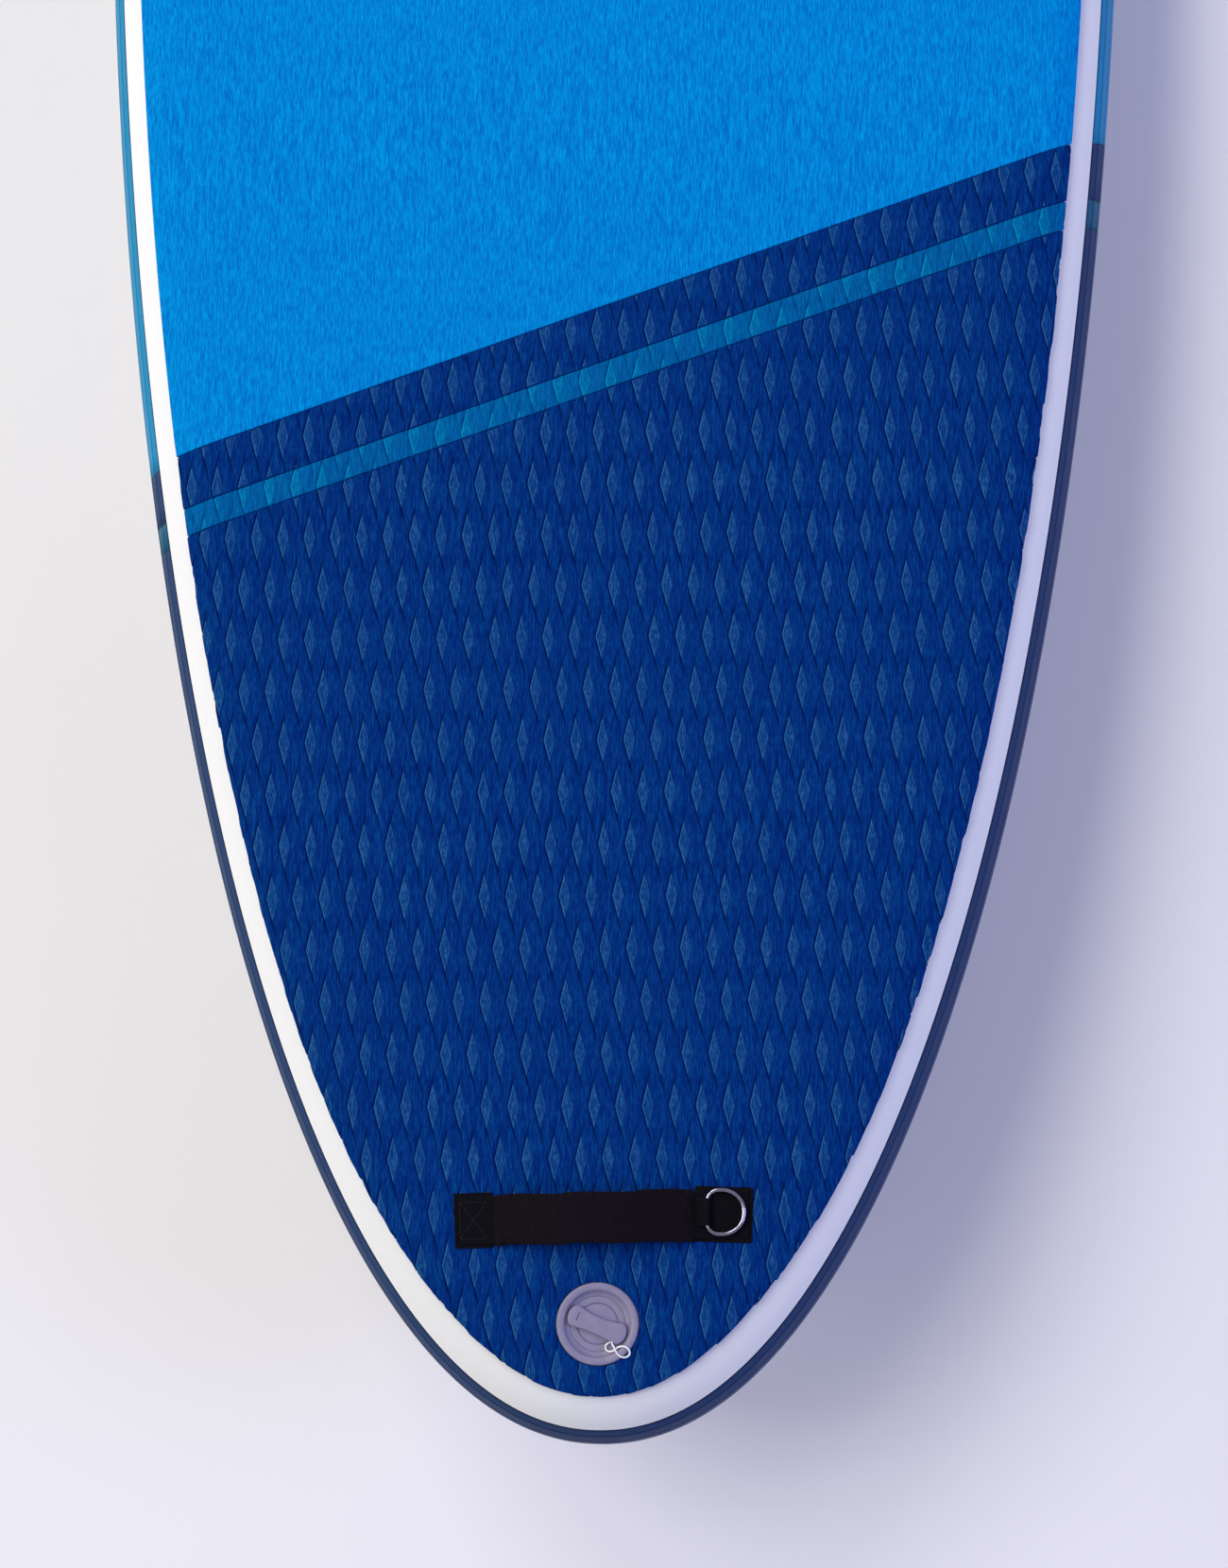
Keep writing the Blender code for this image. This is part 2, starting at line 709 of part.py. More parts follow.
def rounded_rectangle(length, width, radius, corner_steps=3):
    points = []
    for turn, (sx, sy) in enumerate(((1, 1), (-1, 1), (-1, -1), (1, -1))):
        for i in range(corner_steps + 1):
            angle = math.pi / 2 * (turn + i / corner_steps)
            x = sx * (length / 2 - radius) + radius * math.cos(angle)
            y = sy * (width / 2 - radius) + radius * math.sin(angle)
            points.append((x, y))
    return points


def patch_part(name, length, width, finish, parent, x, height):
    """A flat reinforcing patch, its underside at the given height."""
    corner = min(length, width) * PATCH_CORNER_SHARE
    mesh = flat_mesh(name, [rounded_rectangle(length, width, corner)], COVER)
    patch = add_part(name, mesh, finish, parent)
    patch.location = (x, 0.0, height + COVER / 2)


def turned_empty(name, parent, axis="z", turn=0.0):
    empty = bpy.data.objects.new(name, None)
    PARTS.objects.link(empty)
    empty.parent = parent
    setattr(empty.rotation_euler, axis, turn)
    return empty


def group_empty(name, x, y, height):
    """An empty on the bent deck that carries a group of small rigid pieces."""
    return seat(turned_empty(name, BOARD), x, y, height)


def tab_mesh(name, tail):
    """A webbing loop round a ring's bar, with both layers of its tail lying flat towards -x."""
    outer = RING_WIRE / 2 + GAP + TAB_LAYER
    inner = RING_WIRE / 2 + GAP
    top = -outer + 2 * TAB_LAYER
    reach = math.sqrt(outer**2 - top**2)
    end_angle = math.atan2(top, -reach)
    start_angle = -math.pi / 2
    sweep = (end_angle - start_angle) % math.tau
    loop = [(-tail, -outer)]
    for i in range(TAB_STEPS + 1):
        angle = start_angle + sweep * i / TAB_STEPS
        loop.append((outer * math.cos(angle), outer * math.sin(angle)))
    loop.append((-tail, top))
    turns = [math.tau * i / TAB_STEPS for i in range(TAB_STEPS)]
    hole = [(inner * math.cos(angle), inner * math.sin(angle)) for angle in turns]
    mesh = flat_mesh(name, [loop, hole], TAB_WIDTH)
    mesh.transform(Matrix.Rotation(math.pi / 2, 4, "X"))
    return mesh


def ring_mesh(name):
    """A D-shaped ring: its bar lies on local y and its bow reaches to +x."""
    half = RING_WIDTH / 2
    bar = half - RING_CORNER
    points = [(0.0, -bar), (0.0, 0.0), (0.0, bar)]
    for i in range(1, 3):
        angle = math.pi - math.pi / 2 * i / 2
        points.append((RING_CORNER + RING_CORNER * math.cos(angle), bar + RING_CORNER * math.sin(angle)))
    for i in range(RING_BOW_STEPS + 1):
        angle = math.pi / 2 - math.pi * i / RING_BOW_STEPS
        points.append((RING_DEPTH - half + half * math.cos(angle), half * math.sin(angle)))
    points.append((RING_CORNER, -half))
    middle = math.pi + math.pi / 4
    points.append((RING_CORNER + RING_CORNER * math.cos(middle), -bar + RING_CORNER * math.sin(middle)))
    return wire_mesh(name, [(x, y, 0.0) for x, y in points], RING_WIRE, closed=True)


def anchor_mesh(name):
    """A round patch with a webbing loop welded on it; the loop's bore is on local y at z = 0."""
    outer = RING_WIRE / 2 + GAP + TAB_LAYER
    weld = TAB_LAYER / 4
    low = -outer + weld - COVER
    disc = drum_mesh("anchor_disc", ANCHOR_RADIUS, low, low + COVER, (-ANCHOR_TAIL / 2, 0.0), ANCHOR_STEPS)
    body = add_cutter(name, tab_mesh(name, ANCHOR_TAIL))
    combine(body, add_cutter("anchor_disc", disc), "UNION")
    return mesh_alone(body), -low


def make_tail_handle(finish):
    """Webbing strap in a padded sleeve, sewn down at both ends, with a D-ring at its starboard end."""
    base = PAD_RADIUS + GAP
    handle = group_empty("tail_handle_axes", TAIL_HANDLE_STATION, -TAIL_HANDLE_CENTRE, 0.0)
    handle.rotation_euler.z = math.pi / 2
    half = TAIL_HANDLE_LENGTH / 2
    inner_ends = (-half + STARBOARD_PATCH_LENGTH, half - PORT_PATCH_LENGTH)
    for name, outer_end, inner_end in (
        ("tail_handle_patch_port", half, inner_ends[1]),
        ("tail_handle_patch_starboard", -half, inner_ends[0]),
    ):
        length = abs(outer_end - inner_end)
        middle = (outer_end + inner_end) / 2
        patch_part(name, length, HANDLE_PATCH_WIDTH, finish["webbing"], handle, middle, base)
    strap_low = base + COVER + GAP
    hem = (HANDLE_PATCH_WIDTH - WEBBING_WIDTH) / 2
    free = inner_ends[1] - inner_ends[0]
    arch = (sum(inner_ends) / 2, free + 2 * TAIL_HANDLE_LIFT_OFF, TAIL_HANDLE_RISE)
    sleeve = ("tail_handle_sleeve", inner_ends[0] + GAP, inner_ends[1] - GAP)
    sleeve_size = (SLEEVE_WIDTH, SLEEVE_THICKNESS)
    height = strap_low + WEBBING / 2
    ends = (-half + hem, half - hem)
    strap_and_sleeve("tail_handle", ends, sleeve, arch, *sleeve_size, height, finish, handle)
    loop_radius = RING_WIRE / 2 + GAP + TAB_LAYER
    strap_rise = arch_height(TAIL_HANDLE_CENTRE + TAB_TAIL - TAIL_RING_FROM_CENTRE, arch)
    bar_height = strap_low + strap_rise + WEBBING + GAP + loop_radius
    axis = group_empty("tail_ring_axis", TAIL_RING_STATION, -TAIL_RING_FROM_CENTRE, bar_height)
    axis.rotation_euler.z = -math.pi / 2
    add_part("tail_ring_tab", tab_mesh("tail_ring_tab", TAB_TAIL), finish["webbing"], axis)
    add_part("tail_ring", RING, finish["chrome"], axis)


def make_anchors(finish):
    """Four cargo rings on the nose deck and a towing ring under the nose."""
    lift = HULL_RADIUS + GAP + CURVE_ALLOWANCE + ANCHOR_HEIGHT
    rear = PAD_FRONT + CARGO_FROM_PAD
    for place, station, from_side, turn in (
        ("rear", rear, CARGO_REAR_FROM_SIDE, 0.0),
        ("front", rear + CARGO_RUN, CARGO_FRONT_FROM_SIDE, math.pi),
    ):
        spread = BOARD_WIDTH / 2 - from_side
        for side, sign in (("port", 1.0), ("starboard", -1.0)):
            label = f"cargo_{place}_{side}"
            axis = group_empty(label + "_axis", station, sign * spread, lift)
            turned = turned_empty(label + "_turn", axis, "z", turn)
            add_part(label + "_anchor", ANCHOR, finish["webbing"], turned)
            add_part(label + "_ring", RING, finish["chrome"], turned)
    axis = group_empty("tow_axis", TOW_STATION, 0.0, -lift)
    under = turned_empty("tow_turn", axis, "x", math.pi)
    add_part("tow_anchor", ANCHOR, finish["webbing"], under)
    ring = add_part("tow_ring", RING, finish["chrome"], axis)
    ring.rotation_euler.y = math.pi / 2 + rocker_angle(TOW_STATION) - REST_PITCH


# Inflation valve
def make_valve(finish):
    axis = group_empty("valve_axis", VALVE_STATION, 0.0, DECK)
    make_valve_body(finish, axis)
    make_guide(finish, axis)
    seal_low = VALVE_SEAT - SEAT_THICKNESS - GAP - SEAL_THICKNESS
    inner = BARREL_RADIUS + CUT_CLEARANCE
    gasket_top = FLANGE_UNDERSIDE - GAP
    gasket = [
        (inner, gasket_top),
        (GASKET_RADIUS, gasket_top),
        (GASKET_RADIUS, gasket_top - GASKET_THICKNESS),
        (inner, gasket_top - GASKET_THICKNESS),
    ]
    turned_part("valve_gasket", gasket, finish["rubber"], axis)
    nut_top = WALL_RADIUS - FABRIC - HULL_RADIUS - GAP
    nut = [
        (inner, nut_top),
        (NUT_RADIUS, nut_top),
        (NUT_RADIUS, nut_top - NUT_FLANGE),
        (NUT_COLLAR_RADIUS, nut_top - NUT_FLANGE - GAP),
        (NUT_COLLAR_RADIUS, nut_top - NUT_HEIGHT),
        (inner, nut_top - NUT_HEIGHT),
    ]
    turned_part("valve_clamp_nut", nut, finish["valve"], axis)
    plunger_axis = turned_empty("plunger_axis", axis)
    carrier_top = seal_low - GAP
    stem = [
        (0.0, BUTTON_TOP),
        (BUTTON_RADIUS, BUTTON_TOP),
        (BUTTON_RADIUS, BUTTON_TOP - BUTTON_THICKNESS),
        (STEM_RADIUS, BUTTON_TOP - BUTTON_THICKNESS),
        (STEM_RADIUS, carrier_top),
        (CARRIER_RADIUS, carrier_top),
        (CARRIER_RADIUS, carrier_top - CARRIER_THICKNESS),
        (0.0, carrier_top - CARRIER_THICKNESS),
    ]
    turned_part("valve_plunger", stem, finish["valve"], plunger_axis, closed=False)
    seal_hole = STEM_RADIUS + GAP
    seal = [
        (seal_hole, seal_low + SEAL_THICKNESS),
        (SEAL_RADIUS, seal_low + SEAL_THICKNESS),
        (SEAL_RADIUS, seal_low),
        (seal_hole, seal_low),
    ]
    turned_part("valve_seal", seal, finish["rubber"], plunger_axis)
    make_spring(finish, plunger_axis)
    make_cap(finish, axis)


def make_valve_body(finish, axis):
    """Dished flange, barrel and seat."""
    bottom = VALVE_SEAT - SEAT_THICKNESS
    profile = [
        (WELL_TOP_RADIUS, FLANGE_TOP),
        (FLANGE_RADIUS - FLANGE_CHAMFER, FLANGE_TOP),
        (FLANGE_RADIUS, FLANGE_TOP - FLANGE_CHAMFER),
        (FLANGE_RADIUS, FLANGE_UNDERSIDE),
        (BARREL_RADIUS, FLANGE_UNDERSIDE),
        (BARREL_RADIUS, bottom),
        (SEAT_HOLE_RADIUS, bottom),
        (SEAT_HOLE_RADIUS, VALVE_SEAT),
        (BORE_RADIUS, VALVE_SEAT),
        (BORE_RADIUS, CAP_SEAT),
        (CAP_SEAT_RADIUS, CAP_SEAT),
        (CAP_SEAT_RADIUS, WELL_FLOOR),
        (WELL_FLOOR_RADIUS, WELL_FLOOR),
    ]
    turned_part("valve_body", profile, finish["valve"], axis)


def make_guide(finish, axis):
    """Three-armed guide for the plunger's stem; its arms stand on the valve's seat."""
    hub = drum_mesh("valve_guide", HUB_RADIUS, HUB_TOP - HUB_HEIGHT, HUB_TOP, steps=HUB_STEPS)
    guide = add_part("valve_guide", hub, finish["valve"], axis)
    length = BORE_RADIUS - CUT_CLEARANCE
    low = VALVE_SEAT + GAP
    high = HUB_TOP - GUIDE_ARM_DROP
    for i in range(3):
        turn = math.tau * i / 3 + math.pi / 2
        centre = (length / 2 * math.cos(turn), length / 2 * math.sin(turn), (low + high) / 2)
        arm = box_mesh(f"guide_arm_{i}", (length, GUIDE_ARM_WIDTH, high - low), centre, turn)
        combine(guide, add_cutter(f"guide_arm_{i}", arm), "UNION")
    bore_ends = (VALVE_SEAT - HUB_HEIGHT, HUB_TOP + HUB_HEIGHT)
    bore = drum_mesh("stem_bore", STEM_RADIUS + GAP, *bore_ends, steps=HUB_STEPS)
    combine(guide, add_cutter("stem_bore", bore), "DIFFERENCE")
    work_in(guide)


def make_spring(finish, axis):
    """Coil spring between the guide's hub and the button; each end turns flat onto its seat."""
    low = HUB_TOP + GAP + SPRING_WIRE / 2
    high = BUTTON_TOP - BUTTON_THICKNESS - GAP - SPRING_WIRE / 2
    count = SPRING_TURNS * SPRING_STEPS
    points = []
    for i in range(count + 1):
        angle = math.tau * i / SPRING_STEPS
        points.append(
            (SPRING_RADIUS * math.cos(angle), SPRING_RADIUS * math.sin(angle), low + (high - low) * i / count)
        )
    add_part("valve_spring", wire_mesh("valve_spring", points, SPRING_WIRE), finish["steel"], axis)


def grip_outline():
    """The grip bar seen from above: waisted, with round ends."""
    half = GRIP_LENGTH / 2
    end = GRIP_END_WIDTH / 2
    corner = end * GRIP_CORNER_SHARE
    side = []
    for i in range(-GRIP_SIDE_STEPS, GRIP_SIDE_STEPS + 1):
        share = i / GRIP_SIDE_STEPS
        side.append(((half - corner) * share, GRIP_WAIST / 2 + (end - GRIP_WAIST / 2) * share**2))
    tip = []
    for i in range(1, GRIP_TIP_STEPS):
        angle = math.pi / 2 - math.pi * i / GRIP_TIP_STEPS
        tip.append((half - corner + corner * math.cos(angle), end * math.sin(angle)))
    upper = side + tip
    return upper + [(-x, -y) for x, y in upper]


def make_cap(finish, axis):
    """Cap with a plug skirt, a grip bar across its face, an O-ring and a short cord loop."""
    lift = turned_empty("cap_axis", axis)
    edge = CAP_SEAT_RADIUS - CAP_CLEARANCE
    under = CAP_SEAT + GAP
    inside = SKIRT_RADIUS - SKIRT_WALL
    ceiling = BUTTON_TOP + (CAP_DISC_TOP - BUTTON_TOP) / 2
    groove_low = GROOVE_TOP - GROOVE_HEIGHT
    profile = [
        (0.0, CAP_DISC_TOP - CAP_FACE_STEP),
        (CAP_FACE_RADIUS, CAP_DISC_TOP - CAP_FACE_STEP),
        (CAP_FACE_RADIUS, CAP_DISC_TOP),
        (edge, CAP_DISC_TOP),
        (edge, under),
        (SKIRT_RADIUS, under),
        (SKIRT_RADIUS, GROOVE_TOP),
        (GROOVE_RADIUS, GROOVE_TOP),
        (GROOVE_RADIUS, groove_low),
        (SKIRT_RADIUS, groove_low),
        (SKIRT_RADIUS, SKIRT_BOTTOM),
        (inside, SKIRT_BOTTOM),
        (inside, ceiling),
        (0.0, ceiling),
    ]
    cap = turned_part("valve_cap", profile, finish["valve"], lift, closed=False)
    grip_low = WELL_FLOOR + GAP
    grip = flat_mesh("cap_grip", [grip_outline()], GRIP_TOP - grip_low)
    turn = -math.pi / 2 - math.radians(GRIP_ANGLE)
    grip.transform(Matrix.Translation((0.0, 0.0, (GRIP_TOP + grip_low) / 2)) @ Matrix.Rotation(turn, 4, "Z"))
    combine(cap, add_cutter("cap_grip", grip), "UNION")
    work_in(cap)
    ring_path = []
    for i in range(VALVE_STEPS):
        angle = math.tau * i / VALVE_STEPS
        ring_path.append((O_RING_RADIUS * math.cos(angle), O_RING_RADIUS * math.sin(angle), 0.0))
    mesh = wire_mesh("cap_o_ring", ring_path, O_RING_WIRE, closed=True)
    o_ring = add_part("cap_o_ring", mesh, finish["rubber"], lift)
    o_ring.location.z = GROOVE_TOP - GROOVE_HEIGHT / 2
    make_cap_cord(finish, lift)


# The cord loop's route from the side of the grip bar, round a figure of eight and back, chosen by hand
CORD_ROUTE = (
    (-0.0131, -0.0109, 0.0036),
    (-0.0147, -0.0083, 0.0034),
    (-0.0177, -0.0062, 0.0036),
    (-0.0206, -0.0083, 0.0045),
    (-0.0203, -0.0127, 0.0066),
    (-0.0174, -0.0168, 0.0081),
    (-0.0168, -0.0212, 0.0081),
    (-0.0191, -0.0253, 0.0080),
    (-0.0231, -0.0258, 0.0079),
    (-0.0255, -0.0216, 0.0079),
    (-0.0246, -0.0168, 0.0082),
    (-0.0205, -0.0143, 0.0096),
    (-0.0163, -0.0126, 0.0082),
    (-0.0138, -0.0117, 0.0057),
)


def smooth_line(points, spacing):
    """Even points along a smooth curve through the given ones."""
    fine = []
    count = len(points)
    for i in range(count - 1):
        p = [Vector(points[min(max(j, 0), count - 1)]) for j in (i - 1, i, i + 1, i + 2)]
        handles = (p[1] + (p[2] - p[0]) / 6, p[2] - (p[3] - p[1]) / 6)
        piece = interpolate_bezier(p[1], handles[0], handles[1], p[2], 24)
        fine += piece if i == 0 else piece[1:]
    length = sum((b - a).length for a, b in zip(fine, fine[1:]))
    steps = max(2, round(length / spacing))
    even = [fine[0]]
    travelled = 0.0
    for a, b in zip(fine, fine[1:]):
        piece = (b - a).length
        while len(even) < steps and travelled + piece >= length * len(even) / steps:
            even.append(a.lerp(b, (length * len(even) / steps - travelled) / piece))
        travelled += piece
    even.append(fine[-1])
    return even, length


def make_cap_cord(finish, axis):
    points, length = smooth_line(CORD_ROUTE, CORD_SPACING)
    print(f"cap cord length {length * 1000:.1f} mm in {len(points)} points")
    add_part("cap_cord", wire_mesh("cap_cord", points, CORD_DIAMETER), finish["cord"], axis)


# Handles
def make_carry_handle(finish):
    """Padded grip on a webbing strap over the board's balance point, sewn to two patches."""
    handle = group_empty("carry_handle_axes", CARRY_STATION, 0.0, 0.0)
    base = PAD_RADIUS + GAP
    half = CARRY_LENGTH / 2
    for name, sign in (("carry_handle_patch_rear", -1), ("carry_handle_patch_front", 1)):
        x = sign * (half - CARRY_PATCH_LENGTH / 2)
        patch_part(name, CARRY_PATCH_LENGTH, CARRY_PATCH_WIDTH, finish["webbing"], handle, x, base)
    end = half - (CARRY_PATCH_WIDTH - WEBBING_WIDTH) / 2
    reach = CARRY_GRIP_LENGTH / 2
    grip = ("carry_handle_grip", -reach, reach)
    height = base + COVER + GAP + WEBBING / 2
    arch = (0.0, CARRY_SPAN, CARRY_RISE)
    size = (CARRY_GRIP_WIDTH, CARRY_GRIP_THICKNESS)
    strap_and_sleeve("carry_handle", (-end, end), grip, arch, *size, height, finish, handle)


def make_nose_handle(finish):
    """A plain webbing grab strap across the nose."""
    handle = group_empty("nose_handle_axes", NOSE_HANDLE_STATION, 0.0, 0.0)
    turned = turned_empty("nose_handle_turn", handle, "z", math.pi / 2)
    base = HULL_RADIUS + GAP + CURVE_ALLOWANCE
    half = NOSE_HANDLE_LENGTH / 2
    for name, sign in (("nose_handle_patch_port", 1), ("nose_handle_patch_starboard", -1)):
        x = sign * (half - NOSE_PATCH_LENGTH / 2)
        patch_part(name, NOSE_PATCH_LENGTH, NOSE_PATCH_WIDTH, finish["webbing"], turned, x, base)
    end = half - (NOSE_PATCH_WIDTH - WEBBING_WIDTH) / 2
    arch = (0.0, NOSE_HANDLE_SPAN, NOSE_HANDLE_RISE)
    mesh = ribbon_mesh("nose_handle_strap", -end, end, arch, WEBBING_WIDTH, WEBBING, NOSE_STRAP_STEPS)
    strap = add_part("nose_handle_strap", mesh, finish["webbing"], turned)
    strap.location.z = base + COVER + GAP + WEBBING / 2


# Fins
def fin_outline():
    """Side view of the blade below its base, x forward and z down from the root, leading edge first."""
    half = FIN_CHORD / 2

    def near(x, along, down):
        return Vector((x + FIN_CHORD * along, FIN_DEPTH * down))

    tip = near(-FIN_RAKE, 0.0, -1.0)
    tip_end = near(-FIN_RAKE, *FIN_TIP_END)
    lead_pulls = (near(half, *FIN_LEAD_CURVE[0]), near(-FIN_RAKE, *FIN_LEAD_CURVE[1]))
    trail_pulls = (near(-FIN_RAKE, *FIN_TRAIL_CURVE[0]), near(-half, *FIN_TRAIL_CURVE[1]))
    lead = interpolate_bezier(Vector((half, 0.0)), *lead_pulls, tip, 9)
    trail = interpolate_bezier(tip_end, *trail_pulls, Vector((-half, 0.0)), 8)
    return [(p.x, p.y) for p in lead + trail]


def fin_spots():
    return (
        ("centre", CENTRE_FIN_STATION, 0.0),
        ("port", SIDE_FIN_STATION, SIDE_FIN_SPREAD),
        ("starboard", SIDE_FIN_STATION, -SIDE_FIN_SPREAD),
    )


FIN_BASE_FACE = -(HULL_RADIUS + GAP)
FIN_ROOT_FACE = FIN_BASE_FACE - FIN_BASE_HEIGHT


def make_fins(finish):
    """Three moulded fins, each plugged into a base that is bonded to the bottom."""
    half = FIN_CHORD / 2
    root = [(-half, FIN_ROOT), (half, FIN_ROOT)]
    blade = flat_mesh("fin", [root + fin_outline()], FIN_THICKNESS)
    blade.transform(Matrix.Rotation(math.pi / 2, 4, "X"))
    base_length = FIN_CHORD + 2 * FIN_BASE_OVERHANG
    corner = FIN_BASE_WIDTH * FIN_BASE_CORNER_SHARE
    base_outline = rounded_rectangle(base_length, FIN_BASE_WIDTH, corner, 6)
    plate = flat_mesh("fin_base", [base_outline], FIN_BASE_HEIGHT)
    slot_size = (FIN_CHORD + 2 * GAP, FIN_THICKNESS + 2 * GAP, 2 * (FIN_ROOT + GAP))
    slot = add_cutter("fin_slot", box_mesh("fin_slot", slot_size, (0.0, 0.0, -FIN_BASE_HEIGHT / 2)))
    for label, station, across in fin_spots():
        base = add_part(f"fin_base_{label}", plate.copy(), finish["rubber"])
        combine(base, slot, "DIFFERENCE")
        work_in(base)
        base.location = (station, across, FIN_BASE_FACE - FIN_BASE_HEIGHT / 2)
        fin = add_part(f"fin_{label}", blade, finish["fin"])
        soften_edges(fin, FIN_THICKNESS * FIN_EDGE_ROUNDING, 1)
        fin.location = (station, across, FIN_ROOT_FACE)


# The attitude at rest
def rest_pitch():
    """The nose-down angle at which a fin tip and the bent bottom both meet a level floor."""
    keel = []
    for inset in (HULL_RADIUS, HULL_RADIUS + TAPE_ONTO_DECK):
        keel += [on_rocker((x, 0.0, z)) for x, _, z in row_loop((inset, -HULL_RADIUS)) if x > TAIL_RUN]
    best = -math.pi
    for tip in fin_points():
        best = max(best, min(math.atan2(p.z - tip.z, p.x - tip.x) for p in keel))
    return best


def fin_points():
    stations = [station for _, station, _ in fin_spots()]
    return [Vector((station + x, 0.0, FIN_ROOT_FACE + z)) for station in stations for x, z in fin_outline()]


def tip_points():
    """Points round the rail at the tail tip and the nose tip, which set the board's length."""
    points = []
    for degrees in (-TAPE_EDGE_ANGLE, 0.0, TAPE_EDGE_ANGLE):
        inset, height = rail_row(HULL_RADIUS, degrees)
        points.append(on_rocker((inset, 0.0, height)))
        points.append(on_rocker((BOARD_LENGTH - inset, 0.0, height)))
    return points


def rest_on_floor(pitch):
    """Tips the board nose-down onto its fins and nose, with the middle of its box's base at the origin."""
    turn = Matrix.Rotation(pitch, 3, "Y")
    along = [(turn @ point).x for point in tip_points()]
    lowest = min((turn @ point).z for point in fin_points())
    BOARD.rotation_euler.y = pitch
    BOARD.location = (-(min(along) + max(along)) / 2, 0.0, -lowest)


def finishes():
    return {
        "panel": material("chamber_fabric", (0.55, 0.57, 0.60), 0.7),
        "thread": material("thread", (0.85, 0.85, 0.80), 0.9),
        "white": material("white_pvc", (0.86, 0.87, 0.88), 0.45),
        "rail_blue": material("blue_pvc", (0.02, 0.33, 0.62), 0.45),
        "rail_navy": material("navy_pvc", (0.015, 0.06, 0.13), 0.45),
        "rail_stripe": material("stripe_pvc", (0.01, 0.18, 0.36), 0.45),
        "pad_blue": material("blue_foam", (0.0, 0.31, 0.72), 0.8),
        "pad_navy": material("navy_foam", (0.0, 0.07, 0.20), 0.8),
        "pad_stripe": material("stripe_foam", (0.0, 0.17, 0.38), 0.8),
        "webbing": material("black_webbing", (0.01, 0.01, 0.012), 0.85),
        "foam": material("grip_foam", (0.02, 0.02, 0.025), 0.9),
        "chrome": material("chrome", (0.75, 0.75, 0.77), 0.12, 1.0),
        "steel": material("spring_steel", (0.6, 0.6, 0.62), 0.3, 1.0),
        "rubber": material("black_rubber", (0.02, 0.02, 0.02), 0.7),
        "valve": material("grey_plastic", (0.33, 0.33, 0.36), 0.5),
        "fin": material("fin_plastic", (0.05, 0.06, 0.07), 0.4),
        "cord": material("white_cord", (0.85, 0.85, 0.85), 0.8),
    }


RING = ring_mesh("ring")
ANCHOR, ANCHOR_HEIGHT = anchor_mesh("anchor")
REST_PITCH = rest_pitch()


def main():
    finish = finishes()
    make_chamber(finish)
    make_outer_layers(finish)
    make_pads(finish)
    make_tail_handle(finish)
    make_valve(finish)
    make_carry_handle(finish)
    make_nose_handle(finish)
    make_anchors(finish)
    make_fins(finish)
    rest_on_floor(REST_PITCH)


main()
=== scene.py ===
import json
import math

import bmesh
import bpy
import numpy as np
from mathutils import Matrix, Vector
from mathutils.geometry import interpolate_bezier


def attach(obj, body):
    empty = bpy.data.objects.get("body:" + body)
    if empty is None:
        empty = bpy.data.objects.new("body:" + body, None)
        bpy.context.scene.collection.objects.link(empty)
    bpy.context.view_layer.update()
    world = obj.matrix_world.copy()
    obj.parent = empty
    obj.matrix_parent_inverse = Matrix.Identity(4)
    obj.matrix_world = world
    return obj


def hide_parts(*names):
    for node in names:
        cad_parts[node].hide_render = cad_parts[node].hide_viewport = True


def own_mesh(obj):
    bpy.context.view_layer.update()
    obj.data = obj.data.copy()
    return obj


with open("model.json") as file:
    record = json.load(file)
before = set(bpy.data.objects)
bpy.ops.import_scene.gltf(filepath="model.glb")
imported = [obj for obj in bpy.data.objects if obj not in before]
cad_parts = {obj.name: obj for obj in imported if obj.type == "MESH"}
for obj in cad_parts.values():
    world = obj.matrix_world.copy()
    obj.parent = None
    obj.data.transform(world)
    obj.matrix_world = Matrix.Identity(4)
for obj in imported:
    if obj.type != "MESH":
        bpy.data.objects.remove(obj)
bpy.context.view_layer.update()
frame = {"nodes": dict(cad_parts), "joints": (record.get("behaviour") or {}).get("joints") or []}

# Everything is modelled in board axes: x from the tail tip to the nose, y to port, z up from the middle of
# the hull's thickness, in metres. REST, further down, takes them to the frame's axes.

# Hull outline and rocker; GAP is the clearance left between layers
BOARD_LENGTH = 3.251
BOARD_WIDTH = 0.864
HULL_RADIUS = 0.060
TAIL_RUN = 1.600
TAIL_POWER = 2.20
TAIL_ROUNDNESS = 2.08
NOSE_POWER = 2.10
NOSE_ROUNDNESS = 2.25
ROCKER_START = 1.75
ROCKER_POWER = 2.2
NOSE_LIFT = 0.190
TAIL_STEPS = 110
NOSE_STEPS = 70
GAP = 0.0003

# Layers, with angles in degrees; the pad's edge goes down in steps of (outward, down)
COVER = 0.0006
TAPE_EDGE_ANGLE = 36.0
TAPE_EDGE_GAP = 0.4
TAPE_ONTO_DECK = 0.025
SHEET_EDGE = 0.0012
PATCH_THICKNESS = 1.6 * COVER
ANCHOR_THICKNESS = 1.3 * COVER
RAIL_LAYER = 0.00035
RAIL_LAYER_ANGLES = (27.0, 16.0)
RAIL_LAYER_SLOPE = 0.7
RAIL_LAYER_SHADE = (0.4, 0.2)
RAIL_SEAM_SHADE = 0.9
RAIL_SHADE_RUN = 1.6
RAIL_PLAIN_ANGLES = (0.0, 4.0, 8.0, 12.0, 20.0, 23.0, 31.0)
PAD_THICKNESS = 0.0044
PAD_RADIUS = HULL_RADIUS + 2 * GAP + PAD_THICKNESS
PAD_INSET = 0.0288
PAD_TAIL_INSET = 0.0096
PAD_TAIL_FADE = 0.177
PAD_FRONT = 2.33
PAD_FRONT_RADIUS = 0.90
GLUE_LINE = 0.0007
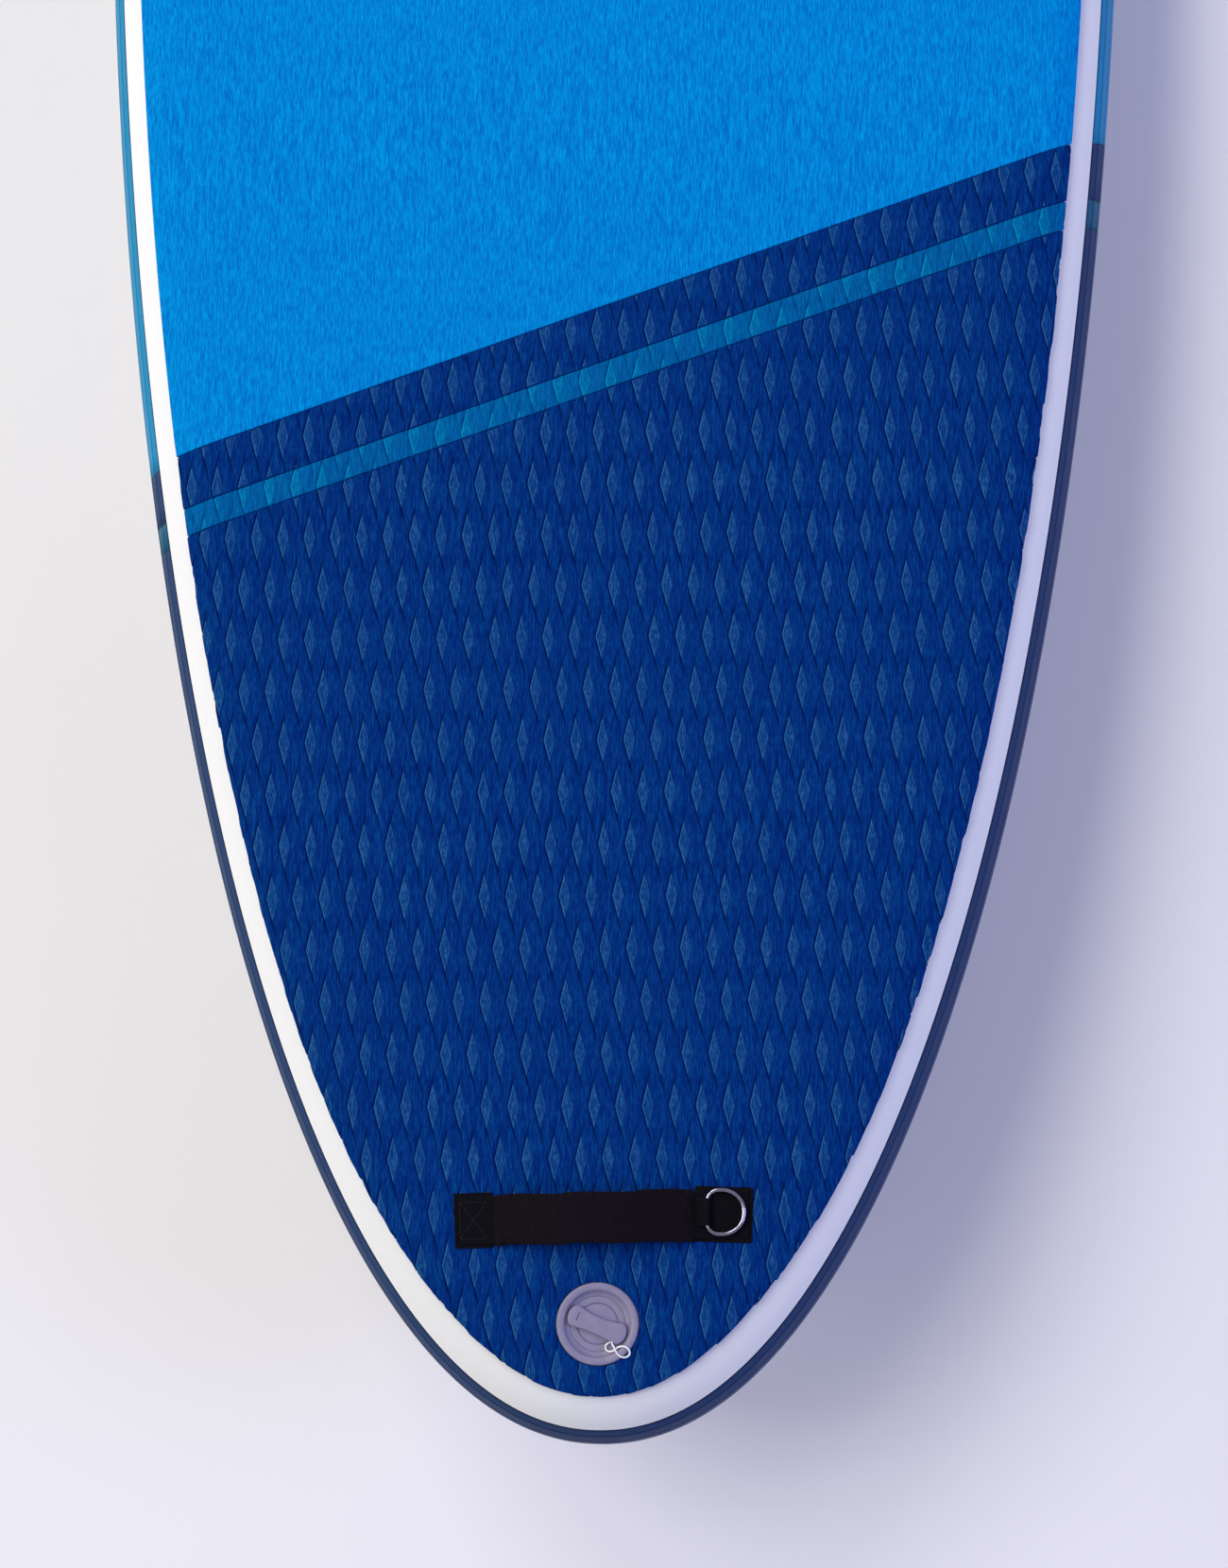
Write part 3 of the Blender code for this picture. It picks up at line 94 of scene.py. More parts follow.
PAD_EDGE = (
    (0.0004, 0.0001),
    (0.0004, 0.0004),
    (0.0001, 0.0008),
    (0.0, PAD_THICKNESS - 0.0013 - GLUE_LINE),
    (0.0006, GLUE_LINE),
)
PAD_EDGE_RUN = 0.0009
PAD_RIM_STEPS = (PAD_EDGE_RUN, 0.004, 0.009, 0.014, 0.020, 0.026)
PAD_FIELD_STEPS = (0.064, 0.070)
PAD_FRONT_FACETS = 40
PAD_FRONT_FACET = 0.7

# The diagonal edge, and the strips behind it
DIAGONAL_TURN = math.radians(19.5)
DIAGONAL_STATION = 0.931
BAND_WIDTH = 0.0439
STRIPE_WIDTH = 0.0223
STRIPE_TOP = -BAND_WIDTH
STRIPE_LOW = STRIPE_TOP - STRIPE_WIDTH

# The tail pad's pattern: lozenges between two families of slanting grooves
PATTERN_START = (0.016389, -0.000901)
PATTERN_ROW = (0.042540, 0.000905)
PATTERN_COLUMN = (-0.000254, 0.021744)
PATTERN_LENGTH = 1.15
LOZENGE_SHARE = 0.463
LOZENGE_LINES = (0.17, 0.29)
FIELD_LINES = (0.62, 0.80)
GROOVE_DEPTH = 0.0009
GROOVE_HALF = 0.0009
GROOVE_FADE = ((0.50, 0.92), (0.38, 0.74))
CREASE_DEPTH = 0.00035
CREASE_HALF = 0.0006
CREASE_RUN_OUT = 0.08
# Painted shade in a crease, and the painted highlight along the lozenges' rims: its strength by a crease, and its width
CREASE_SHADE = 0.30
CREASE_HIGHLIGHT = 0.4
PAINTED_HIGHLIGHT_WIDTH = 0.0008
PILLOW_RISE = 0.0002
EDGE_UNEVENNESS = 0.0012
PATTERN_PAST_TAIL = 0.01
PATTERN_SHORT_AHEAD = 0.03
PAD_HOLE_ROOM = 0.0005
KNIFE_STROKE = 0.042

# Tail handle
TAIL_HANDLE_STATION = 0.182
TAIL_HANDLE_CENTRE = 0.004
TAIL_HANDLE_LENGTH = 0.240
TAIL_HANDLE_LIFT_OFF = 0.012
TAIL_HANDLE_RISE = 0.016
TAIL_HANDLE_TILT = math.radians(1.8)
SLEEVE_WIDTH = 0.0425
SLEEVE_THICKNESS = 0.0052
SEWN_LENGTH = 0.004
WEBBING_WIDTH = 0.038
WEBBING = 0.0016
STITCH_LIFT = 0.0001
HANDLE_PATCH_WIDTH = 0.0445
PORT_PATCH_LENGTH = 0.031
STARBOARD_PATCH_LENGTH = 0.047
PORT_PATCH_SKEW = 0.6
STARBOARD_PATCH_SKEW = -3.2

# Rings and anchors; a spot is a name, a station, how far from the middle, and a turn
RING_WIRE = 0.0030
RING_WIDTH = 0.0352
RING_DEPTH = 0.0300
RING_CORNER = 0.0095
RING_BOW_EXTRA = 0.0003
TAIL_RING_STATION = 0.187
TAIL_RING_FROM_CENTRE = 0.0873
TAB_WIDTH = 0.022
TAB_LAYER = 0.0012
TAB_TAIL = 0.008
TAB_NIP = 0.0008
TAB_WRAP = math.pi * 0.86
TAB_DROP_RUN = 0.0030
TAB_PARTING = 0.00005
ANCHOR_RADIUS = 0.040
ANCHOR_TAIL = 0.024
CARGO_SPOTS = (("rear", 2.48, 0.210, 0.0), ("front", 2.84, 0.135, math.pi))
TOW_STATION = 3.05

# Inflation valve, heights from the deck's outer face
VALVE_STATION = 0.097
VALVE_STEPS = 96
FLANGE_RADIUS = 0.0332
FLANGE_TOP = 0.0069
FLANGE_UNDERSIDE = 0.0013
FLANGE_BEVEL = 0.0012
LIP_DROP = 0.0007
LIP_WIDTH = 0.0020
WELL_TOP_RADIUS = 0.0272
WELL_BEND = 0.0032
WELL_FLOOR = 0.0010
CAP_SEAT_RADIUS = 0.0222
CAP_SEAT = -0.0020
BORE_RADIUS = 0.0195
BARREL_RADIUS = 0.0240
VALVE_SEAT = -0.0260
SEAT_THICKNESS = 0.0030
SEAT_HOLE_RADIUS = 0.0140
HUB_RADIUS = 0.0052
HUB_TOP = -0.0210
HUB_HEIGHT = 0.0040
GUIDE_ARM_WIDTH = 0.0030
GUIDE_ARM_DROP = 0.0004
GASKET_THICKNESS = 0.0007
GASKET_RADIUS = 0.0310
NUT_RADIUS = 0.0330
NUT_FLANGE = 0.0025
NUT_COLLAR_RADIUS = 0.0285
NUT_HEIGHT = 0.0095
NUT_TOP = -0.0016
CUT_CLEARANCE = 0.0006
STEM_RADIUS = 0.0030
BUTTON_RADIUS = 0.0065
BUTTON_TOP = -0.0060
BUTTON_THICKNESS = 0.0030
CARRIER_RADIUS = 0.0165
CARRIER_THICKNESS = 0.0020
SEAL_RADIUS = 0.0173
SEAL_THICKNESS = 0.0021
SPRING_WIRE = 0.0009
SPRING_RADIUS = 0.0047
SPRING_TURNS = 4
CAP_CLEARANCE = 0.0001
CAP_DISC_TOP = 0.0020
CAP_DISC_DIP = 0.0002
CAP_EDGE_ROUNDING = 0.0002
CAP_GROOVE_RADIUS = 0.0164
CAP_GROOVE_HALF = 0.0006
CAP_GROOVE_DEPTH = 0.0013
SKIRT_RADIUS = 0.0189
SKIRT_WALL = 0.0029
SKIRT_BOTTOM = -0.0110
GROOVE_RADIUS = 0.0174
GROOVE_TOP = -0.0070
GROOVE_HEIGHT = 0.0021
O_RING_RADIUS = 0.01835
O_RING_WIRE = 0.0015
GRIP_TOP = 0.0066
GRIP_LENGTH = 0.0496
GRIP_SIDES = ((0.0055, 0.0083), (0.0083, 0.0096))
GRIP_OVERHANG = 0.0035
GRIP_OVERHANG_RISE = 0.0036
GRIP_FOOT = 0.0009
GRIP_ROUNDING = 0.0014
GRIP_SLOT = (-0.0167, -0.0005)
GRIP_SLOT_SIZE = (0.0010, 0.0068, 0.0008)
GRIP_ANGLE = math.radians(22.0)

# The cap's cord loop, in the valve's axes
CORD_DIAMETER = 0.0014
CORD_FINENESS = 12
CORD_ROUTE = (
    (-0.0131, -0.0109, 0.0036), (-0.0146, -0.0100, 0.0038), (-0.0155, -0.0082, 0.0037), (-0.0176, -0.0067, 0.0034),
    (-0.0203, -0.0069, 0.0036), (-0.0219, -0.0092, 0.0043), (-0.0217, -0.0121, 0.0052), (-0.0204, -0.0144, 0.0054),
    (-0.0187, -0.0162, 0.0056), (-0.0178, -0.0189, 0.0066), (-0.0178, -0.0216, 0.0077), (-0.0189, -0.0242, 0.0079),
    (-0.0212, -0.0259, 0.0078), (-0.0239, -0.0260, 0.0076), (-0.0259, -0.0240, 0.0075), (-0.0264, -0.0212, 0.0077),
    (-0.0256, -0.0184, 0.0079), (-0.0234, -0.0161, 0.0080), (-0.0209, -0.0146, 0.0078), (-0.0184, -0.0134, 0.0070),
    (-0.0159, -0.0119, 0.0062), (-0.0138, -0.0117, 0.0057),
)

# Stitches, as (pitch, length, radius), and how far their boxes keep inside the webbing's edges
STITCH = (0.0030, 0.0024, 0.00032)
ANCHOR_STITCH = (0.0026, 0.0021, 0.00028)
BOX_MARGIN = 0.0045
ANCHOR_BOX_MARGIN = 0.003
ANCHOR_BOX_SHORTER = 0.006
ANCHOR_BOX_SHIFT = 0.0025

# How padding's fabric behaves; a cloth is its (cell size, pressure, farthest shift)
SLEEVE_CLOTH = (0.0022, 6.0, 0.0011)
GRIP_CLOTH = (0.0030, 5.0, 0.0015)
FABRIC = {
    "quality": 6,
    "mass": 0.25,
    "tension_stiffness": 20.0,
    "compression_stiffness": 8.0,
    "shear_stiffness": 4.0,
    "bending_stiffness": 0.05,
    "shrink_min": -0.05,
    "use_pressure": True,
    "vertex_group_mass": "held",
}

# Centre carry handle and nose handle; a seam keeps off the arch and off the strap's end by its two distances
CARRY_STATION = 1.560
CARRY_LENGTH = 0.330
CARRY_SPAN = 0.230
CARRY_RISE = 0.042
CARRY_GRIP_LENGTH = 0.120
CARRY_GRIP_WIDTH = 0.048
CARRY_GRIP_THICKNESS = 0.020
GRIP_SEWN_LENGTH = 0.005
CARRY_PATCH_LENGTH = 0.090
CARRY_PATCH_WIDTH = 0.070
CARRY_SEAM = (0.008, 0.010)
NOSE_HANDLE_STATION = 3.020
NOSE_HANDLE_LENGTH = 0.230
NOSE_HANDLE_SPAN = 0.150
NOSE_HANDLE_RISE = 0.026
NOSE_PATCH_LENGTH = 0.050
NOSE_PATCH_WIDTH = 0.055
NOSE_SEAM = (0.009, 0.009)

# Fins; each edge's points are shares of (chord, rake, depth) from the root's middle
FIN_CHORD = 0.140
FIN_DEPTH = 0.112
FIN_RAKE = 0.062
FIN_THICKNESS = 0.0065
FIN_THINNING = 0.62
FIN_ROOT = 0.0040
FIN_LEAD = ((0.50, 0, 0.0), (0.40, 0, 0.50), (0.35, 1, 0.98), (0.0, 1, 1.0))
FIN_TRAIL = ((-0.50, 0, 0.0), (-0.44, 0, 0.38), (0.06, 1, 0.60), (-0.11, 1, 0.94))
FIN_BASE_HEIGHT = 0.0070
FIN_BASE_WIDTH = 0.038
FIN_BASE_OVERHANG = 0.018
FIN_BASE_CORNER = 0.48 * FIN_BASE_WIDTH
FIN_BASE_ROUNDING = 0.0040
FIN_SPOTS = (("centre", 0.235, 0.0), ("port", 0.355, 0.135), ("starboard", 0.355, -0.135))

# The photograph's view, in board axes: the tail end seen from above, with the nose end leaning away
CAMERA_LEAN = 0.116801
CAMERA_YAW = -0.0493513
CAMERA_ROLL = -0.00206837
CAMERA_PIVOT = (0.620, 0.0, 0.0)
CAMERA_OFFSET = (-0.078639, -0.005999, 3.600)
CAMERA_SENSOR = 36.0
CAMERA_LENS = 99.43
CAMERA_REACH = 50.0

# Lamps: place, aim, size, watts and colour
LAMPS = (
    ("key", (0.4, 5.1, 7.2), (-1.2, 0.0, 0.2), (5.3, 5.3), 460.0, (1.0, 0.975, 0.94)),
    ("fill_port", (-0.8, 6.4, 2.4), (-1.0, 0.3, 0.2), (3.2, 1.6), 96.0, (1.0, 0.95, 0.78)),
    ("fill_starboard", (-1.8, -5.6, 3.2), (-1.0, 0.0, 0.2), (3.6, 2.4), 205.0, (0.38, 0.42, 1.0)),
    ("nose_key", (4.4, 2.9, 5.6), (1.2, 0.0, 0.2), (2.9, 2.9), 180.0, (1.0, 0.98, 0.96)),
)
FLOOR_REACH = 14.0

# Colour and strength of the light from all round, and of what the camera sees behind the floor
AMBIENT = ((0.90, 0.92, 1.0), 0.40)
BACKDROP = ((0.88, 0.87, 0.90), 1.0)


# The frame's axes
JOINTS = {joint["name"]: joint for joint in frame["joints"]}


def board_to_frame():
    """The matrix from board axes to the frame's, read from the valve cap's joints."""
    up = Vector(JOINTS["cap_lift"]["axis"])
    ahead = Vector((up.z, 0.0, -up.x))
    matrix = Matrix((ahead, (0.0, 1.0, 0.0), up)).transposed().to_4x4()
    matrix.translation = Vector(JOINTS["cap_twist"]["pos_m"]) - ahead * VALVE_STATION - up * HULL_RADIUS
    return matrix


REST = board_to_frame()
ROCKER_RUN = BOARD_LENGTH - ROCKER_START


def rocker_angle(x):
    past = np.maximum(x - ROCKER_START, 0.0) / ROCKER_RUN
    return np.arctan(NOSE_LIFT * ROCKER_POWER / ROCKER_RUN * past ** (ROCKER_POWER - 1.0))


def bend(points):
    """Moves points of the flat board onto the bent one."""
    x, y, z = np.asarray(points, dtype=float).T
    angle = rocker_angle(x)
    rise = NOSE_LIFT * (np.maximum(x - ROCKER_START, 0.0) / ROCKER_RUN) ** ROCKER_POWER
    return np.column_stack((x - z * np.sin(angle), y, rise + z * np.cos(angle)))


def moved(points, matrix):
    matrix = np.array(matrix)
    return np.asarray(points) @ matrix[:3, :3].T + matrix[:3, 3]


def deck_place(x, y, height, turn=0.0):
    """The matrix of a small rigid piece's own axes on the bent deck, turned about the deck's normal."""
    spot = bend([(x, y, height)])[0]
    lean = Matrix.Rotation(-float(rocker_angle(x)), 4, "Y")
    return REST @ Matrix.Translation(spot) @ lean @ Matrix.Rotation(turn, 4, "Z")


def linked(name, data):
    obj = bpy.data.objects.new(name, data)
    bpy.context.scene.collection.objects.link(obj)
    return obj


def add_camera():
    turn = Matrix.Rotation(CAMERA_ROLL, 3, "Z") @ Matrix.Rotation(CAMERA_YAW, 3, "X")
    turn = turn @ Matrix.Rotation(CAMERA_LEAN, 3, "Y")
    matrix = Matrix((-turn.row[1], turn.row[0], turn.row[2])).transposed().to_4x4()
    matrix.translation = Vector(CAMERA_PIVOT) + turn.transposed() @ Vector(CAMERA_OFFSET)
    data = bpy.data.cameras.new("photo_view")
    data.sensor_width = CAMERA_SENSOR
    data.lens = CAMERA_LENS
    data.clip_end = CAMERA_REACH
    camera = linked("photo_view", data)
    camera.matrix_world = REST @ matrix
    bpy.context.scene.camera = camera


# Finishes
def connect(tree, value, socket):
    """Links a node's output to a socket, or gives the socket the value; a colour may leave out its alpha."""
    if isinstance(value, bpy.types.NodeSocket):
        tree.links.new(value, socket)
    else:
        socket.default_value = (*value, 1.0) if socket.type == "RGBA" and len(value) == 3 else value


def node(tree, kind, inputs, **settings):
    made = tree.nodes.new("ShaderNode" + kind)
    for key, value in settings.items():
        setattr(made, key, value)
    for key, value in inputs.items():
        connect(tree, value, made.inputs[key])
    return made


class Look:
    """A material whose Principled sockets are named by keywords, with _ for a space."""

    def __init__(self, name, **sockets):
        self.material = bpy.data.materials.new(name)
        self.material.use_nodes = True
        self.tree = self.material.node_tree
        self.shown(**sockets)

    def shown(self, **sockets):
        shader = self.tree.nodes["Principled BSDF"]
        for key, value in sockets.items():
            connect(self.tree, value, shader.inputs[key.replace("_", " ")])
        return self.material

    def texture(self, kind, size, output="Fac", settings=None, **inputs):
        """A texture on object coordinates divided by a feature size, the same along each axis or one for each."""
        size = size if isinstance(size, tuple) else (size,) * 3
        place = node(self.tree, "TexCoord", {}).outputs["Object"]
        cells = node(self.tree, "Mapping", {"Vector": place, "Scale": tuple(1.0 / s for s in size)}).outputs[0]
        inputs = {"Scale": 1.0, **inputs, "Vector": cells}
        return node(self.tree, "Tex" + kind, inputs, **(settings or {})).outputs[output]

    def noise(self, size, detail, roughness=0.5):
        return self.texture("Noise", size, Detail=detail, Roughness=roughness)

    def wave(self, size, direction, **inputs):
        return self.texture("Wave", size, settings={"bands_direction": direction}, **inputs)

    def painted(self, label):
        return node(self.tree, "Attribute", {}, attribute_name=label).outputs["Fac"]

    def times(self, first, second, operation="MULTIPLY"):
        return node(self.tree, "Math", {0: first, 1: second}, operation=operation).outputs["Value"]

    def plus(self, first, second):
        return self.times(first, second, "ADD")

    def ranged(self, value, low, high, new_low=0.0, new_high=1.0):
        levels = {"Value": value, "From Min": low, "From Max": high, "To Min": new_low, "To Max": new_high}
        return node(self.tree, "MapRange", levels).outputs["Result"]

    def mixed(self, share, first, second):
        return node(self.tree, "Mix", {0: share, 6: first, 7: second}, data_type="RGBA").outputs[2]

    def bumped(self, height, depth, **below):
        inputs = {"Height": height, "Distance": depth, "Strength": 1.0, **below}
        return node(self.tree, "Bump", inputs).outputs["Normal"]


def scaled(colour, factor):
    return tuple(factor * value for value in colour)


def foam(name, dark, light, glint, hollow=1.0, dash=(0.0070, 0.0011)):
    """Closed-cell deck foam brushed into short wavy ribs that run along the board, with painted shade in its grooves
    and a painted highlight along its lozenges' rims.
    """
    look = Look(name, Specular_IOR_Level=0.02)
    ribs = look.noise((*dash, 0.02), 1.0, 0.45)
    long_ribs = look.noise((dash[0] * 2.6, dash[1] * 1.7, 0.02), 1.0)
    fine = look.noise((0.0016, 0.0007, 0.02), 1.0)
    cloud = look.noise((0.12, 0.08, 0.2), 3.0, 0.6)
    brushed = look.plus(look.times(long_ribs, 0.4), look.times(ribs, 0.6))
    tone = look.mixed(look.ranged(brushed, 0.50, 0.66), light, glint)
    tone = look.mixed(look.ranged(brushed, 0.50, 0.36, 0.0, 0.95), tone, dark)
    tone = look.mixed(look.ranged(fine, 0.52, 0.30, 0.0, 0.45), tone, dark)
    tone = look.mixed(look.ranged(cloud, 0.35, 0.8, 0.0, 0.15), tone, dark)
    # Painted highlight on the lozenges' rims, then painted shade in the grooves; hollow sets how strong that shade is
    painted_highlight = look.times(look.painted("painted_highlight"), look.ranged(fine, 0.3, 0.6, 0.45, 1.0))
    tone = look.mixed(painted_highlight, tone, scaled(glint, 1.25))
    tone = look.mixed(look.times(look.painted("groove"), hollow), tone, scaled(dark, 0.35))
    normal = look.bumped(look.plus(brushed, look.times(fine, 0.3)), 0.0009)
    return look.shown(Base_Color=tone, Roughness=look.ranged(fine, 0.3, 0.7, 0.88, 0.72), Normal=normal)


def coated_fabric(name, colour, wear_and_shade, shine):
    """PVC-coated fabric: a faint weave under a smooth skin, rubbed lighter here and there."""
    look = Look(name, Specular_IOR_Level=0.07)
    weave = look.times(look.wave(0.0016, "X"), look.wave(0.0016, "Y"))
    rub = look.noise((0.060, 0.035, 0.012), 6.0, 0.72)
    tone = look.mixed(look.ranged(rub, 0.56, 0.78, 0.0, 0.35), colour, wear_and_shade)
    # Painted shade where a sheet's points carry a groove value: along the rails' tape edge and layer steps
    tone = look.mixed(look.times(look.painted("groove"), 0.9), tone, scaled(colour, 0.22))
    normal = look.bumped(look.noise(0.030, 3.0, 0.55), 0.0006, Normal=look.bumped(weave, 0.00003))
    rough = look.ranged(rub, 0.3, 0.75, shine - 0.06, shine + 0.14)
    return look.shown(Base_Color=tone, Roughness=rough, Normal=normal)


def webbing(name, along, across):
    """Black woven nylon: ribs across the strap and fine yarns along it."""
    look = Look(name, Specular_IOR_Level=0.07, Sheen_Weight=0.02, Sheen_Roughness=0.45)
    yarns = look.wave(0.0052, across, Scale=2.6, Distortion=0.3)
    weave = look.times(look.wave(0.0052, along, Distortion=0.4), yarns)
    fuzz = look.noise(0.0009, 2.0, 0.7)
    tone = look.mixed(weave, (0.0016, 0.0012, 0.0028), (0.0078, 0.0062, 0.0112))
    tone = look.mixed(look.ranged(fuzz, 0.55, 0.9, 0.0, 0.30), tone, (0.012, 0.011, 0.017))
    normal = look.bumped(fuzz, 0.00006, Normal=look.bumped(weave, 0.00035))
    return look.shown(Base_Color=tone, Roughness=look.ranged(fuzz, 0.3, 0.8, 0.88, 0.66), Normal=normal)


def jersey(name):
    """Black knitted jersey over soft foam."""
    look = Look(name, Specular_IOR_Level=0.06, Sheen_Weight=0.02, Sheen_Roughness=0.4)
    knit = look.texture("Voronoi", (0.0009, 0.0012, 0.0012), "Distance")
    fuzz = look.noise(0.0011, 3.0, 0.7)
    tone = look.mixed(look.ranged(fuzz, 0.35, 0.8), (0.0026, 0.0015, 0.0032), (0.0105, 0.0072, 0.0118))
    normal = look.bumped(look.noise((0.030, 0.014, 0.020), 3.0), 0.0010, Normal=look.bumped(knit, 0.00015))
    return look.shown(Base_Color=tone, Roughness=look.ranged(fuzz, 0.3, 0.8, 0.92, 0.74), Normal=normal)


def metal(name, size, detail, tone_range, first, second, rough_range):
    look = Look(name, Metallic=1.0)
    smudge = look.noise(size, detail, 0.6)
    tone = look.mixed(look.ranged(smudge, *tone_range), first, second)
    return look.shown(Base_Color=tone, Roughness=look.ranged(smudge, *rough_range))


def moulded_plastic(name, colour, paler, shine, grain=0.00004):
    """Injection-moulded plastic with a spark-eroded grain and slight handling marks."""
    look = Look(name, Specular_IOR_Level=0.40)
    marks = look.noise((0.012, 0.007, 0.012), 5.0, 0.65)
    tone = look.mixed(look.ranged(marks, 0.45, 0.8), colour, paler)
    normal = look.bumped(look.noise(0.00035, 2.0, 0.6), grain)
    rough = look.ranged(marks, 0.3, 0.75, shine + 0.08, shine - 0.08)
    return look.shown(Base_Color=tone, Roughness=rough, Normal=normal)


def rubber(name):
    look = Look(name, Specular_IOR_Level=0.4)
    bloom = look.noise((0.020, 0.020, 0.010), 5.0, 0.65)
    tone = look.mixed(look.ranged(bloom, 0.45, 0.8), (0.012, 0.012, 0.013), (0.045, 0.045, 0.048))
    normal = look.bumped(look.noise(0.0008, 2.0), 0.00005)
    return look.shown(Base_Color=tone, Roughness=look.ranged(bloom, 0.3, 0.8, 0.55, 0.78), Normal=normal)


def braid(name):
    look = Look(name, Roughness=0.75, Sheen_Weight=0.2, Sheen_Roughness=0.4)
    soil = look.ranged(look.noise(0.006, 3.0, 0.6), 0.45, 0.85, 0.0, 0.6)
    normal = look.bumped(look.texture("Voronoi", 0.0005, "Distance"), 0.00012)
    return look.shown(Base_Color=look.mixed(soil, (0.86, 0.85, 0.87), (0.60, 0.58, 0.60)), Normal=normal)


def thread(name):
    look = Look(name, Roughness=0.85)
    twist = look.noise((0.0008, 0.0008, 0.003), 2.0, 0.6)
    tone = look.mixed(twist, (0.72, 0.72, 0.68), (0.88, 0.88, 0.84))
    return look.shown(Base_Color=tone, Normal=look.bumped(twist, 0.0001))


def floor_paint(name):
    look = Look(name, Roughness=0.85, Specular_IOR_Level=0.2)
    cloud = look.ranged(look.noise(1.6, 3.0, 0.55), 0.3, 0.7)
    return look.shown(Base_Color=look.mixed(cloud, (0.745, 0.73, 0.745), (0.785, 0.77, 0.78)))


PALE_DASH = (0.0036, 0.0010)
FINISHES = {
    "white_pvc": (coated_fabric, (0.725, 0.725, 0.740), (0.655, 0.640, 0.628), 0.40),
    "navy_pvc": (coated_fabric, (0.0100, 0.0360, 0.115), (0.040, 0.070, 0.150), 0.42),
    "blue_pvc": (coated_fabric, (0.0, 0.200, 0.400), (0.020, 0.260, 0.450), 0.34),
    "stripe_pvc": (coated_fabric, (0.0, 0.085, 0.165), (0.020, 0.120, 0.200), 0.34),
    "patch_pvc": (coated_fabric, (0.012, 0.012, 0.014), (0.040, 0.040, 0.044), 0.45),
    "chamber_fabric": (coated_fabric, (0.50, 0.52, 0.55), (0.60, 0.60, 0.60), 0.60),
    "navy_foam": (foam, (0.0, 0.0135, 0.126), (0.0003, 0.0262, 0.160), (0.0014, 0.0520, 0.218)),
    "pale_navy_foam": (foam, (0.0008, 0.0260, 0.150), (0.0040, 0.0460, 0.182), (0.0190, 0.0970, 0.262), 1.0, PALE_DASH),
    "stripe_foam": (foam, (0.0, 0.062, 0.220), (0.0, 0.094, 0.285), (0.0, 0.135, 0.350), 0.22),
    "pale_stripe_foam": (foam, (0.0, 0.085, 0.240), (0.0, 0.128, 0.310), (0.001, 0.195, 0.390), 0.22, PALE_DASH),
    "blue_foam": (foam, (0.0, 0.125, 0.440), (0.0, 0.207, 0.560), (0.0, 0.295, 0.660)),
    "webbing_lengthways": (webbing, "X", "Y"),
    "webbing_crossways": (webbing, "Y", "X"),
    "handle_padding": (jersey,),
    # The chrome's dark violet tones are a painted reflection of dark violet surroundings, under its own smudges
    "chrome": (metal, 0.004, 4.0, (0.4, 0.8), (0.40, 0.36, 0.47), (0.28, 0.25, 0.34), (0.35, 0.8, 0.06, 0.20)),
    "spring_steel": (
        metal, (0.0004, 0.0004, 0.0030), 2.0, (0.0, 1.0), (0.50, 0.50, 0.52), (0.68, 0.67, 0.66), (0.3, 0.7, 0.22, 0.42)
    ),
    "grey_plastic": (moulded_plastic, (0.198, 0.180, 0.285), (0.238, 0.218, 0.325), 0.44),
    "fin_plastic": (moulded_plastic, (0.010, 0.016, 0.026), (0.022, 0.030, 0.042), 0.30, 0.00002),
    "stitching": (moulded_plastic, (0.0015, 0.0012, 0.0020), (0.006, 0.005, 0.007), 0.70),
    "glue": (moulded_plastic, (0.230, 0.140, 0.095), (0.330, 0.220, 0.160), 0.60),
    "black_rubber": (rubber,),
    "white_cord": (braid,),
    "thread": (thread,),
    "pale_floor": (floor_paint,),
}
FINISH = {name: make(name, *settings) for name, (make, *settings) in FINISHES.items()}


# Meshes
def mesh_from(points, faces, sharp=None):
    """A smooth mesh; one with an angle is closed, faces outwards and has its sharper edges marked."""
    mesh = bpy.data.meshes.new("mesh")
    mesh.from_pydata(np.asarray(points).tolist(), [], [[int(i) for i in face] for face in faces])
    mesh.shade_smooth()
    if sharp is not None:
        bm = bmesh.new()
        bm.from_mesh(mesh)
        bmesh.ops.remove_doubles(bm, verts=bm.verts, dist=0.000002)
        bmesh.ops.recalc_face_normals(bm, faces=bm.faces)
        bm.to_mesh(mesh)
        bm.free()
        mesh.set_sharp_from_angle(angle=math.radians(sharp))
    return mesh


def opened(mesh):
    """The mesh as a bmesh, to be cut and bent."""
    bm = bmesh.new()
    bm.from_mesh(mesh)
    bpy.data.meshes.remove(mesh)
    return bm


def add_piece(name, mesh, slot, *hides, body="board", finishes=None):
    """A piece of the object that rides on a body; its finish is its slot's unless others are named."""
    mesh.name = name
    obj = linked(name, mesh)
    for finish in finishes or (slot,):
        mesh.materials.append(FINISH[finish])
    if hides:
        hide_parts(*hides)
    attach(obj, body)
    return obj


def loft(rings, loop=False, caps=True):
    """Points and faces of a skin through rings of as many points each."""
    rings = np.asarray(rings, dtype=float)
    count, around = rings.shape[:2]
    index = np.arange(count * around).reshape(count, around)
    near, far = (index, np.roll(index, -1, axis=0)) if loop else (index[:-1], index[1:])
    faces = np.stack((near, np.roll(near, -1, axis=1), np.roll(far, -1, axis=1), far), axis=-1).reshape(-1, 4).tolist()
    if caps and not loop:
        faces += [index[0][::-1].tolist(), index[-1].tolist()]
    return rings.reshape(-1, 3), faces


def solid(rings, place, loop=False, sharp=35.0):
    """A closed mesh lofted through rings, moved to its place."""
    points, faces = loft(rings, loop)
    return mesh_from(moved(points, place), faces, sharp)


def circle(count, radius=1.0):
    angles = np.linspace(0.0, math.tau, count, endpoint=False)
    return radius * np.column_stack((np.cos(angles), np.sin(angles)))


def raised(flat, height):
    """Points in plan, brought to a height."""
    return np.column_stack((flat, np.broadcast_to(height, len(flat))))


